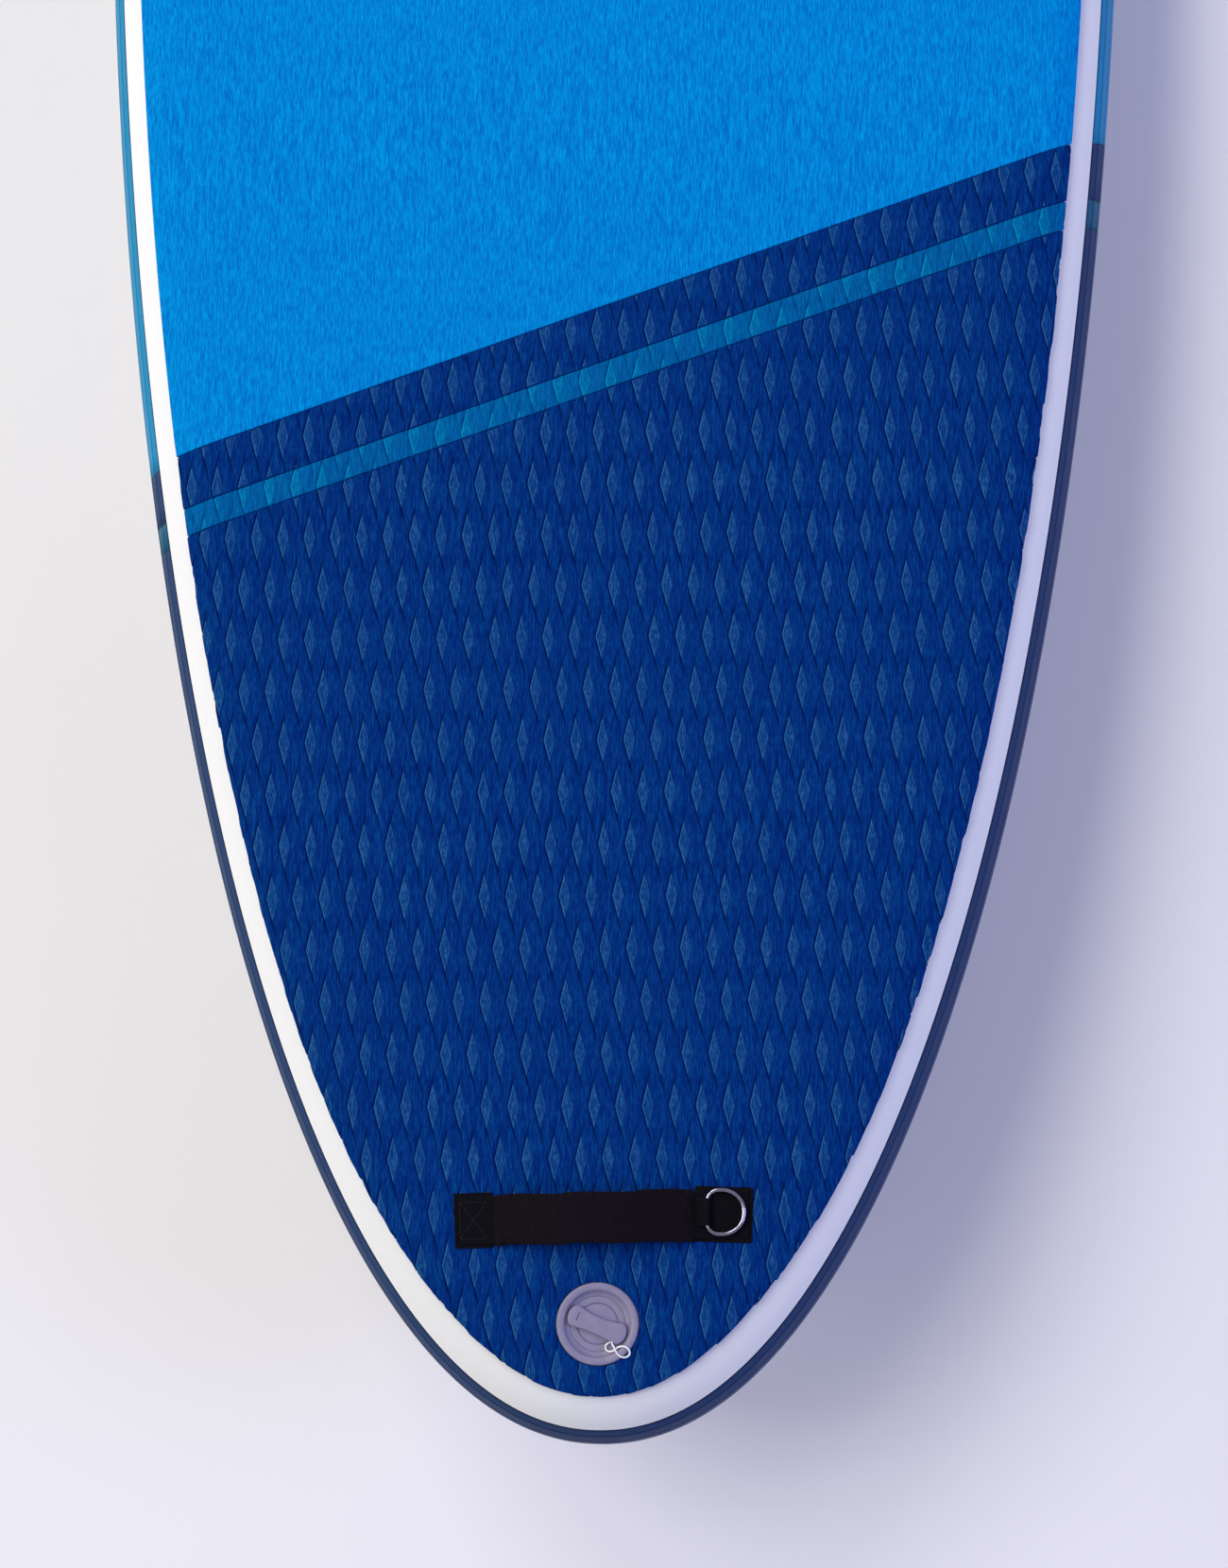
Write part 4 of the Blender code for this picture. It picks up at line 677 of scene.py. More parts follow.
def softened(profile, radius, closed=True, steps=4):
    """A profile with its corners rounded, each by no more than its sides allow."""
    points = [Vector(p) for p in profile]
    result = []
    for i, corner in enumerate(points):
        if not closed and i in (0, len(points) - 1):
            result.append(tuple(corner))
            continue
        sides = (points[i - 1] - corner, points[(i + 1) % len(points)] - corner)
        start, end = (corner + side.normalized() * min(radius, side.length * 0.45) for side in sides)
        for k in range(steps + 1):
            t = k / steps
            result.append(tuple(start * (1 - t) ** 2 + corner * 2 * t * (1 - t) + end * t**2))
    return result


def add_turned(name, profile, rounding, place, slot, *hides, body="board", closed=True, steps=VALVE_STEPS):
    """A piece turned about its own z from a profile of (radius, height); an open profile ends on the axis."""
    radius, height = np.asarray(softened(profile, rounding, closed), dtype=float).T
    points, faces = loft([raised(np.outer(radius, spoke), height) for spoke in circle(steps)], loop=True)
    count = len(radius)
    if not closed:
        faces = [face for face in faces if {face[0] % count, face[1] % count} != {0, count - 1}]
    return add_piece(name, mesh_from(moved(points, place), faces, 30.0), slot, *hides, body=body)


def collar(inner, outer, top, height):
    """The profile of a flat ring."""
    return [(inner, top), (outer, top), (outer, top - height), (inner, top - height)]


def baked(obj):
    """A mesh of the object with its modifiers applied."""
    return bpy.data.meshes.new_from_object(obj.evaluated_get(bpy.context.evaluated_depsgraph_get()))


def carved(mesh, cutter):
    """The mesh less the cutter's shape."""
    whole, tool = linked("whole", mesh), linked("tool", cutter)
    cut = whole.modifiers.new("cut", "BOOLEAN")
    cut.object = tool
    cut.solver = "EXACT"
    result = baked(whole)
    bpy.data.objects.remove(whole)
    bpy.data.objects.remove(tool)
    result.set_sharp_from_angle(angle=math.radians(50.0))
    return result


def unit_rows(rows):
    return rows / np.linalg.norm(rows, axis=1)[:, None]


def tube_rings(path, radius, around=12, closed=False):
    """Rings of a round tube along a path, carried on without twisting."""
    path = np.asarray(path, dtype=float)
    ahead = unit_rows(np.roll(path, -1, axis=0) - np.roll(path, 1, axis=0) if closed else np.gradient(path, axis=0))
    side = np.cross(ahead[0], (0.31, 0.17, 0.93))
    side /= np.linalg.norm(side)
    across, upward = circle(around).T
    rings = []
    for point, direction, size in zip(path, ahead, np.broadcast_to(radius, len(path))):
        side = side - direction * np.dot(side, direction)
        side /= np.linalg.norm(side)
        rings.append(point + size * (np.outer(across, side) + np.outer(upward, np.cross(direction, side))))
    return rings


def strip_section(width, thickness, rounding, across=16, crown=0.0):
    """Half-round-edged section of a strap: (across, up) points in order round it."""
    half = width / 2 - rounding
    xs = np.linspace(-half, half, across)
    edge = np.linspace(math.pi / 2, -math.pi / 2, 7)[1:-1]
    top = np.column_stack((xs, thickness / 2 + crown * (1.0 - (xs / half) ** 2)))
    right = np.column_stack((half + rounding * np.cos(edge), thickness / 2 * np.sin(edge)))
    return np.vstack((top, right, -top, -right))


def strap_rings(path, sections):
    """Rings of a strap along a path of (x, z) points, its width on local y, from a section or one for each point."""
    path = np.asarray(path, dtype=float)
    sections = sections if isinstance(sections, list) else [sections] * len(path)
    rings = []
    for (x, z), (dx, dz), shape in zip(path, unit_rows(np.gradient(path, axis=0)), sections):
        rings.append([(x - up * dz, across, z + up * dx) for across, up in shape])
    return rings


def plate_rings(outline, low, high, rounding, steps=5):
    """Rings of a plate with a rounded upper edge, from a convex outline given anticlockwise."""
    outline = np.asarray(outline, dtype=float)
    along = np.roll(outline, -1, axis=0) - np.roll(outline, 1, axis=0)
    outward = unit_rows(np.column_stack((along[:, 1], -along[:, 0])))
    rings = [raised(outline, low)]
    for i in range(steps + 1):
        angle = math.pi / 2 * i / steps
        flat = outline - outward * rounding * (1.0 - math.cos(angle))
        rings.append(raised(flat, high - rounding * (1.0 - math.sin(angle))))
    return rings


def rounded_rectangle(length, width, radius, corner_steps=8):
    points = []
    for turn, (sx, sy) in enumerate(((1, 1), (-1, 1), (-1, -1), (1, -1))):
        for i in range(corner_steps + 1):
            angle = math.pi / 2 * (turn + i / corner_steps)
            x = sx * (length / 2 - radius) + radius * math.cos(angle)
            y = sy * (width / 2 - radius) + radius * math.sin(angle)
            points.append((x, y))
    return np.array(points)


def stitches(name, runs, place, size=STITCH):
    """A row of short thread stitches along each run, a list of points."""
    pitch, length, radius = size
    along = np.array([-0.5, -0.42, -0.2, 0.0, 0.2, 0.42, 0.5]) * length
    swell = np.array([0.15, 0.7, 0.95, 1.0, 0.95, 0.7, 0.15]) * radius
    points = []
    faces = []
    for start, end in ((Vector(a), Vector(b)) for run in runs for a, b in zip(run, run[1:])):
        count = max(1, round((end - start).length / pitch))
        direction = (end - start).normalized()
        for i in range(count):
            middle = start.lerp(end, (i + 0.5) / count)
            rings, quads = loft(tube_rings([middle + direction * a for a in along], swell, 6))
            faces += [[k + len(points) for k in quad] for quad in quads]
            points += rings.tolist()
    add_piece(name, mesh_from(moved(points, place), faces), "black_webbing", finishes=("stitching",))


# Hull sheets
def half_width(run, power, roundness, distance):
    share = np.clip(1.0 - distance / run, 0.0, None)
    return BOARD_WIDTH / 2 * (1.0 - share**power) ** (1.0 / roundness)


def hull_outline():
    """The flat outline as a closed loop: tail tip, port side, nose tip, starboard side."""
    nose_run = BOARD_LENGTH - TAIL_RUN
    tail = TAIL_RUN * (1.0 - np.cos(math.pi / 2 * (np.arange(1, TAIL_STEPS + 1) / TAIL_STEPS) ** 1.2))
    nose = nose_run * (1.0 - np.cos(math.pi / 2 * np.arange(NOSE_STEPS - 1, 0, -1) / NOSE_STEPS))
    tail_half = half_width(TAIL_RUN, TAIL_POWER, TAIL_ROUNDNESS, tail)
    nose_half = half_width(nose_run, NOSE_POWER, NOSE_ROUNDNESS, nose)
    port = np.column_stack((np.concatenate((tail, BOARD_LENGTH - nose)), np.concatenate((tail_half, nose_half))))
    return np.vstack(([(0.0, 0.0)], port, [(BOARD_LENGTH, 0.0)], port[::-1] * (1.0, -1.0)))


def outward_normals(loop):
    before = unit_rows(loop - np.roll(loop, 1, axis=0))
    along = unit_rows(before + np.roll(before, -1, axis=0))
    return np.column_stack((-along[:, 1], along[:, 0]))


OUTLINE = hull_outline()
OUTWARD = outward_normals(OUTLINE)
RIM_INSET = PAD_INSET + PAD_TAIL_INSET * np.exp(-((OUTLINE[:, 0] / PAD_TAIL_FADE) ** 2))


def ring_at(inset, height):
    return raised(OUTLINE - OUTWARD * np.broadcast_to(inset, len(OUTLINE))[:, None], height)


def rail_ring(radius, degrees):
    angle = math.radians(degrees)
    return ring_at(HULL_RADIUS - radius * math.cos(angle), radius * math.sin(angle))


def hull_bmesh(rings, middle=None, seams=None):
    """A sheet through rings that run bottom to top, closed across the deck or the bottom if asked."""
    points, faces = loft(rings, caps=False)
    faces = [face[::-1] for face in faces]
    count = len(OUTLINE)
    first = (len(rings) - 1) * count if middle == "deck" else 0
    for k in range(count // 2 if middle else 0):
        corners = list(dict.fromkeys(first + i % count for i in (k, -k, -(k + 1), k + 1)))
        faces.append(corners if middle == "deck" else corners[::-1])
    mesh = mesh_from(points, faces)
    if seams:
        paint(mesh, "groove", np.repeat(seams, count))
    return opened(mesh)


def paint(mesh, label, values):
    """Gives each point a value that a finish reads."""
    mesh.attributes.new(label, "FLOAT", "POINT").data.foreach_set("value", values)


def cut_away(bm, point, normal):
    """Removes what lies on the side that the normal points to."""
    everything = bm.verts[:] + bm.edges[:] + bm.faces[:]
    bmesh.ops.bisect_plane(bm, geom=everything, dist=1e-6, plane_co=point, plane_no=normal, clear_outer=True)


def keep_between(bm, start, end):
    """Keeps what lies between two lines parallel to the diagonal edge, measured forward from it."""
    ahead = Vector((math.cos(DIAGONAL_TURN), math.sin(DIAGONAL_TURN), 0.0))
    base = Vector((DIAGONAL_STATION, 0.0, 0.0))
    for line, way in ((end, 1), (start, -1)):
        if line is not None:
            cut_away(bm, base + ahead * line, ahead * way)


def bent_mesh(bm, reshape=None):
    """Ends a flat sheet: bends it along the rocker and takes it to the frame's axes."""
    points = np.array([v.co for v in bm.verts])
    if reshape:
        points = reshape(points)
    for vertex, point in zip(bm.verts, moved(bend(points), REST)):
        vertex.co = point
    mesh = bpy.data.meshes.new("sheet")
    bm.to_mesh(mesh)
    bm.free()
    mesh.shade_smooth()
    return mesh


def thicken(obj):
    shell = obj.modifiers.new("thickness", "SOLIDIFY")
    shell.thickness = COVER
    shell.offset = -1.0
    return obj


def rail_radius(degrees):
    """The rail's radius at an angle: each glued layer is a small step."""
    steps = (min(1.0, max(0.0, (limit - abs(degrees)) / RAIL_LAYER_SLOPE)) for limit in RAIL_LAYER_ANGLES)
    return HULL_RADIUS + RAIL_LAYER * sum(steps)


def make_rail_covers():
    edge = TAPE_EDGE_ANGLE - TAPE_EDGE_GAP
    # Painted shade along the white tape's edge and at each glued layer's step, fading off over RAIL_SHADE_RUN
    seams = {edge: RAIL_SEAM_SHADE, edge - RAIL_SHADE_RUN: 0.0, **dict.fromkeys(RAIL_PLAIN_ANGLES, 0.0)}
    for limit in RAIL_LAYER_ANGLES:
        seams |= dict(zip((limit, limit - RAIL_LAYER_SLOPE), RAIL_LAYER_SHADE))
        seams |= {limit + 1.0: 0.0, limit - RAIL_SHADE_RUN: 0.0}
    seams |= {-angle: depth for angle, depth in seams.items()}
    rings = [rail_ring(rail_radius(a), a) for a in sorted(seams)]
    both = (("_port", 1), ("_starboard", -1))
    for label, node_name, slot, start, end, sides in (
        ("front", "rail_cover_front", "blue_pvc", GAP / 2, None, (("", 0),)),
        ("band", "rail_cover_band", "navy_pvc", STRIPE_TOP + GAP / 2, -GAP / 2, both),
        ("stripe", "rail_stripe", "stripe_pvc", STRIPE_LOW + GAP / 2, STRIPE_TOP - GAP / 2, both),
        ("rear", "rail_cover_rear", "navy_pvc", None, STRIPE_LOW - GAP / 2, (("", 0),)),
    ):
        for suffix, side in sides:
            bm = hull_bmesh(rings, seams=[seams[a] for a in sorted(seams)])
            keep_between(bm, start, end)
            if side:
                cut_away(bm, (0.0, side * GAP, 0.0), (0.0, -side, 0.0))
            thicken(add_piece(f"rail_skin_{label}{suffix}", bent_mesh(bm), slot, node_name + suffix))


def make_white_skins():
    """Deck and bottom: the tape that wraps round the rail's edge, and the skin within it."""
    inner = HULL_RADIUS + TAPE_ONTO_DECK
    angles = (TAPE_EDGE_ANGLE + TAPE_EDGE_GAP, *np.arange(40.0, 90.0, 5.0), 90.0)
    tape = [rail_ring(HULL_RADIUS, a) for a in angles]
    tape += [ring_at(inset, HULL_RADIUS) for inset in (inner - SHEET_EDGE, inner)]
    skin = [ring_at(inset, HULL_RADIUS) for inset in (inner + GAP, inner + GAP + SHEET_EDGE)]
    hole = [raised(circle(VALVE_STEPS, BARREL_RADIUS + CUT_CLEARANCE), z) for z in (-0.01, 0.01)]
    for side, form, rings, middle, node_name in (
        ("deck", "tape_skin", tape, None, "deck_edge_tape"),
        ("bottom", "tape_skin", tape, None, "bottom_edge_tape"),
        ("deck", "skin", skin, "deck", "deck_laminate"),
        ("bottom", "skin", skin, "bottom", "bottom_laminate"),
    ):
        if side == "bottom":
            rings = [ring * (1.0, 1.0, -1.0) for ring in reversed(rings)]
        mesh = bent_mesh(hull_bmesh(rings, middle))
        if side == "deck":
            sheet = thicken(linked("sheet", mesh))
            mesh = carved(baked(sheet), solid(hole, deck_place(VALVE_STATION, 0.0, HULL_RADIUS)))
            bpy.data.objects.remove(sheet)
        skin_piece = add_piece(f"{side}_{form}", mesh, "white_pvc", node_name)
        if side == "bottom":
            thicken(skin_piece)


# Deck pads
def nearest_on_outline(points):
    """For points in plan: how far each lies inside the outline, and the outline's index nearest to it."""
    index = np.empty(len(points), dtype=int)
    for start in range(0, len(points), 20000):
        part = points[start : start + 20000]
        index[start : start + 20000] = ((part[:, None, :] - OUTLINE) ** 2).sum(axis=2).argmin(axis=1)
    return ((OUTLINE[index] - points) * OUTWARD[index]).sum(axis=1), index


def on_pad(points):
    """Lays points of (x, y, depth below the pad's face) over the rounded hull."""
    inset, index = nearest_on_outline(points[:, :2])
    across = np.clip(HULL_RADIUS - inset, 0.0, HULL_RADIUS) / PAD_RADIUS
    flat = points[:, :2] + OUTWARD[index] * (across * points[:, 2])[:, None]
    return np.column_stack((flat, np.sqrt(1.0 - across**2) * (PAD_RADIUS + points[:, 2])))


def turn_down(bm, profile, glue):
    """Turns the open border down in steps of (outward, down), the last one with the glue's material."""
    border = [edge for edge in bm.edges if edge.is_boundary]
    outward = {}
    for edge in border:
        along = edge.verts[1].co - edge.verts[0].co
        side = Vector((-along.y, along.x, 0.0)).normalized()
        middle = (edge.verts[0].co + edge.verts[1].co) / 2
        if side.dot(middle - edge.link_faces[0].calc_center_median()) < 0.0:
            side.negate()
        for vertex in edge.verts:
            outward[vertex] = outward.get(vertex, Vector()) + side
    above = {vertex: vertex for vertex in outward}
    directed = [(edge.link_loops[0].vert, edge.link_loops[0].link_loop_next.vert) for edge in border]
    for out, down in profile:
        below = {}
        for vertex, upper in above.items():
            below[vertex] = bm.verts.new(upper.co + outward[vertex].normalized() * out + Vector((0.0, 0.0, -down)))
        for a, b in directed:
            face = bm.faces.new((above[b], above[a], below[a], below[b]))
            face.material_index = glue if (out, down) == profile[-1] else 0
        above = below


def pattern_grid():
    """Points of (x, y, relief, painted groove shade, painted rim highlight), quads, and which quads are lozenges."""
    spacing = PATTERN_COLUMN[1] * math.cos(math.atan2(PATTERN_COLUMN[1] / 2, PATTERN_ROW[0]))
    groove, crease, rim = GROOVE_HALF / spacing, CREASE_HALF / spacing, PAINTED_HIGHLIGHT_WIDTH / spacing
    w = LOZENGE_SHARE
    steps = [0.0, groove / 2, groove, groove + rim, *LOZENGE_LINES, w - crease - rim, w - crease, w, w + crease]
    steps = np.array([*steps, *FIELD_LINES, 1 - groove, 1 - groove / 2])
    cells = math.ceil(BOARD_WIDTH / 2 / PATTERN_COLUMN[1] + PATTERN_LENGTH / 2 / PATTERN_ROW[0]) + 1
    lines = (np.arange(-cells, cells)[:, None] + steps).ravel()
    a, b = np.meshgrid(lines, lines, indexing="ij")
    row, column = a - b, -(a + b - w) / 2
    x, y = (PATTERN_START[k] + PATTERN_ROW[k] * row + PATTERN_COLUMN[k] * column for k in (0, 1))
    share = [line - np.floor(line + 1e-9) for line in (a, b)]
    depth, wear_and_shade, painted_highlight = np.zeros((3, *x.shape))
    inside = np.ones_like(x, dtype=bool)
    pillow = np.full_like(x, PILLOW_RISE)
    for (mine, other), (full, run_out) in zip((share, share[::-1]), GROOVE_FADE):
        fade = np.clip((other - full) / (run_out - full), 0.0, 1.0)
        deep = np.clip(1.0 - np.minimum(mine, 1.0 - mine) / groove, 0.0, 1.0) * (1.0 - fade**1.3)
        shallow = np.clip(1.0 - np.abs(mine - w) / crease, 0.0, 1.0)
        shallow *= np.clip((w + CREASE_RUN_OUT - other) / CREASE_RUN_OUT, 0.0, 1.0)
        depth = np.maximum(depth, np.maximum(GROOVE_DEPTH * deep, CREASE_DEPTH * shallow))
        # Painted shade: full at a groove's bottom, weaker in a crease
        wear_and_shade = np.maximum(wear_and_shade, np.maximum(deep, CREASE_SHADE * shallow))
        inside &= (mine > groove - 1e-6) & (mine < w - crease + 1e-6)
        # Painted highlight along each lozenge's rims, stronger on the groove side
        for line, height in ((groove, 1.0), (w - crease, CREASE_HIGHLIGHT)):
            painted_highlight = np.maximum(painted_highlight, height * np.clip(1.0 - np.abs(mine - line) / rim, 0.0, 1.0))
        pillow *= np.sin(math.pi * np.clip(mine, 0.0, 1.0)) ** 0.5
    points = np.stack((x, y, pillow - PILLOW_RISE - depth, wear_and_shade, painted_highlight * inside), axis=-1).reshape(-1, 5)
    index = np.arange(len(points)).reshape(x.shape)
    quads = np.stack((index[:-1, :-1], index[:-1, 1:], index[1:, 1:], index[1:, :-1]), axis=-1).reshape(-1, 4)
    pale = lines - np.floor(lines + 1e-9) < w - 1e-6
    return points, quads, (pale[:-1, None] & pale[None, :-1]).ravel()


def knife_wander(index):
    """How far the hand-cut edge has drifted inwards at each point of the outline before the knife was set back."""
    gone = np.concatenate(([0.0], np.cumsum(np.linalg.norm(np.diff(OUTLINE, axis=0), axis=1))))
    gone = np.abs(gone - gone[OUTLINE[:, 0].argmin()])[index]
    stroke = gone / KNIFE_STROKE + 0.35 * np.sin(gone * 17.0) + 0.22 * np.sin(gone * 41.0 + 1.0)
    number = np.floor(stroke)
    return EDGE_UNEVENNESS * (0.35 + 0.65 * np.abs(np.sin(number * 12.9))) * (1.0 - (stroke - number))


def trimmed_pattern():
    """The pattern cut to the pad's rim and round the valve."""
    points, quads, lozenge = pattern_grid()
    plan = points[:, :2]
    along, across = plan.T
    reach = (along > -PATTERN_PAST_TAIL) & (along < PATTERN_LENGTH - PATTERN_SHORT_AHEAD)
    reach &= abs(across) < BOARD_WIDTH / 2
    keep = reach[quads].all(axis=1)
    quads, lozenge = quads[keep], lozenge[keep]
    used = np.unique(quads)
    inset, index = nearest_on_outline(plan[used])
    short = RIM_INSET[index] + PAD_EDGE_RUN + knife_wander(index) - inset
    outside = np.zeros(len(points), dtype=bool)
    outside[used] = short > 0.0
    keep = ~outside[quads].all(axis=1)
    plan[used] -= OUTWARD[index] * np.clip(short, 0.0, None)[:, None]
    hole = FLANGE_RADIUS + CUT_CLEARANCE + PAD_HOLE_ROOM
    arm = plan - (VALVE_STATION, 0.0)
    within = np.linalg.norm(arm, axis=1) < hole
    keep &= ~within[quads].all(axis=1)
    plan[within] = unit_rows(arm[within]) * hole + (VALVE_STATION, 0.0)
    return points, quads[keep], lozenge[keep]


def pad_piece(name, bm, slot, node_name, finishes):
    turn_down(bm, PAD_EDGE, len(finishes))
    mesh = bent_mesh(bm, on_pad)
    mesh.set_sharp_from_angle(angle=math.radians(60.0))
    obj = add_piece(name, mesh, slot, node_name, finishes=(*finishes, "glue"))


def make_pads():
    """Blue pad ahead of the diagonal edge; navy pad with its lozenge pattern and a lighter stripe behind it."""
    edge = GAP / 2 + PAD_EDGE_RUN
    rings = [ring_at(inset, 0.0) for inset in (*(RIM_INSET + step for step in PAD_RIM_STEPS), *PAD_FIELD_STEPS)]
    bm = hull_bmesh(rings, "deck")
    keep_between(bm, edge, None)
    middle = Vector((PAD_FRONT - PAD_FRONT_RADIUS, 0.0, 0.0))
    for k in range(-PAD_FRONT_FACETS, PAD_FRONT_FACETS + 1):
        angle = math.radians(PAD_FRONT_FACET * k)
        square = Vector((math.cos(angle), math.sin(angle), 0.0))
        cut_away(bm, middle + square * (PAD_FRONT_RADIUS - PAD_EDGE_RUN), square)
    pad_piece("blue_pad", bm, "blue_foam", "deck_pad_front", ("blue_foam",))
    points, quads, lozenge = trimmed_pattern()
    ahead = (points[:, 0] - DIAGONAL_STATION) * math.cos(DIAGONAL_TURN) + points[:, 1] * math.sin(DIAGONAL_TURN)
    for part, slot, start, end in (
        ("band", "navy_foam", STRIPE_TOP + edge, -edge),
        ("stripe", "stripe_foam", STRIPE_LOW + edge, STRIPE_TOP - edge),
        ("rear", "navy_foam", None, STRIPE_LOW - edge),
    ):
        near = ahead[quads]
        keep = (near.min(axis=1) < end) & (near.max(axis=1) > (-BOARD_LENGTH if start is None else start))
        used, renumbered = np.unique(quads[keep], return_inverse=True)
        mesh = mesh_from(points[used, :3], renumbered.reshape(-1, 4))
        # Painted shade in the grooves and creases, and a painted highlight along the lozenges' rims, for the foam
        # finishes
        paint(mesh, "groove", points[used, 3])
        paint(mesh, "painted_highlight", points[used, 4])
        mesh.polygons.foreach_set("material_index", lozenge[keep].astype(np.int32))
        bm = opened(mesh)
        bmesh.ops.dissolve_degenerate(bm, edges=bm.edges, dist=0.00002)
        keep_between(bm, start, end)
        pad_piece(f"navy_pad_{part}", bm, slot, f"deck_pad_{part}", (slot, "pale_" + slot))


# Handles
def arch_path(start, end, arch, height, steps):
    """A strap's path, its arch given as where the middle is, how far it spans and how high it rises."""
    return [(x, arch_height(x, arch) + height) for x in np.linspace(start, end, steps + 1)]


def arch_height(along, arch):
    middle, span, rise = arch
    return rise * (1.0 - min(1.0, abs(along - middle) / (span / 2)) ** 2) ** 2


def box_and_cross(length, width, middle, height, margin=BOX_MARGIN):
    """The runs of a sewn box with a cross in it."""
    x, y = length / 2 - margin, width / 2 - margin
    a, b, c, d = ((middle + sx * x, sy * y, height) for sx, sy in ((-1, -1), (1, -1), (1, 1), (-1, 1)))
    return [[a, b, c, d, a], [a, c], [b, d]]


def add_patch(handle, side, length, width, place, middle, low, finish="patch_pvc", skew=0.0):
    """A fabric reinforcing patch with a rolled hem round its border, glued on a little askew."""
    place = place @ Matrix.Translation((middle, 0.0, 0.0)) @ Matrix.Rotation(math.radians(skew), 4, "Z")
    outline = rounded_rectangle(length, width, min(length, width) / 25)
    mesh = solid(plate_rings(outline, low, low + PATCH_THICKNESS, PATCH_THICKNESS / 2), place)
    add_piece(f"{handle}_patch_{side}", mesh, "black_webbing", f"{handle}_handle_patch_{side}", finishes=(finish,))


def add_strap(handle, place, ends, arch, height, steps, finish):
    rings = strap_rings(arch_path(*ends, arch, height, steps), strip_section(WEBBING_WIDTH, WEBBING, WEBBING / 2))
    add_piece(f"{handle}_strap", solid(rings, place), "black_webbing", f"{handle}_handle_strap", finishes=(finish,))


def add_padding(name, node_name, place, ends, arch, height, steps, section_at, sewn, cloth):
    """A padded sleeve along an arched strap, its section given for each share of its length."""
    sections = [section_at(i / steps) for i in range(steps + 1)]
    mesh = solid(strap_rings(arch_path(*ends, arch, height, steps), sections), place)
    mesh = puffed(mesh, place, (ends[0] + sewn, ends[1] - sewn), *cloth)
    sleeve = add_piece(name, mesh, "handle_padding", node_name)


def puffed(mesh, place, held_past, voxel, pressure, reach):
    """Swells a padded piece as its fabric would round the foam; its ends past the sewn lines on local x stay put."""
    obj = linked("padding", mesh)
    cells = obj.modifiers.new("cells", "REMESH")
    cells.mode = "VOXEL"
    cells.voxel_size = voxel
    obj.data = baked(obj)
    obj.modifiers.clear()
    start = np.array([v.co for v in obj.data.vertices])
    along = moved(start, place.inverted())[:, 0]
    held = obj.vertex_groups.new(name="held")
    held.add(np.flatnonzero((along < held_past[0]) | (along > held_past[1])).tolist(), 1.0, "REPLACE")
    cloth = obj.modifiers.new("cloth", "CLOTH")
    for key, value in FABRIC.items():
        setattr(cloth.settings, key, value)
    cloth.settings.uniform_pressure_force = pressure
    cloth.settings.effector_weights.gravity = 0.0
    cloth.collision_settings.use_collision = False
    for step in range(1, 21):
        bpy.context.scene.frame_set(step)
    swollen = baked(obj)
    shift = np.array([v.co for v in swollen.vertices]) - start
    shift *= np.minimum(1.0, reach / np.maximum(np.linalg.norm(shift, axis=1)[:, None], 1e-9))
    for vertex, point in zip(swollen.vertices, start + shift):
        vertex.co = point
    obj.modifiers.clear()
    obj.data = swollen
    obj.modifiers.new("finer", "SUBSURF").levels = 1
    result = baked(obj)
    result.shade_smooth()
    bpy.data.objects.remove(obj)
    bpy.context.scene.frame_set(1)
    return result


def sleeve_section(share):
    """The tail handle's sleeve: flatter at its sewn ends, wider to starboard, a little wavy along its edges."""
    ends = min(1.0, 4.0 * math.sin(math.pi * share) ** 0.7)
    width = SLEEVE_WIDTH + 0.0014 * max(0.0, 1.0 - share / 0.45) + 0.0003 * math.sin(share * 17.0)
    thickness = SLEEVE_THICKNESS * (0.55 + 0.45 * ends)
    section = strip_section(width, thickness * 0.7, thickness * 0.35, 20, thickness * 0.10 * ends)
    return section + (0.0005 * math.sin(share * 19.0 + 0.8), 0.0)


def grip_section(share):
    """The carry handle's padded grip."""
    swell = min(1.0, 5.0 * math.sin(math.pi * share) ** 0.8)
    thickness = CARRY_GRIP_THICKNESS * (0.45 + 0.55 * swell)
    width = CARRY_GRIP_WIDTH * (0.90 + 0.10 * swell)
    return strip_section(width, thickness * 0.86, thickness * 0.43, 20, thickness * 0.07)


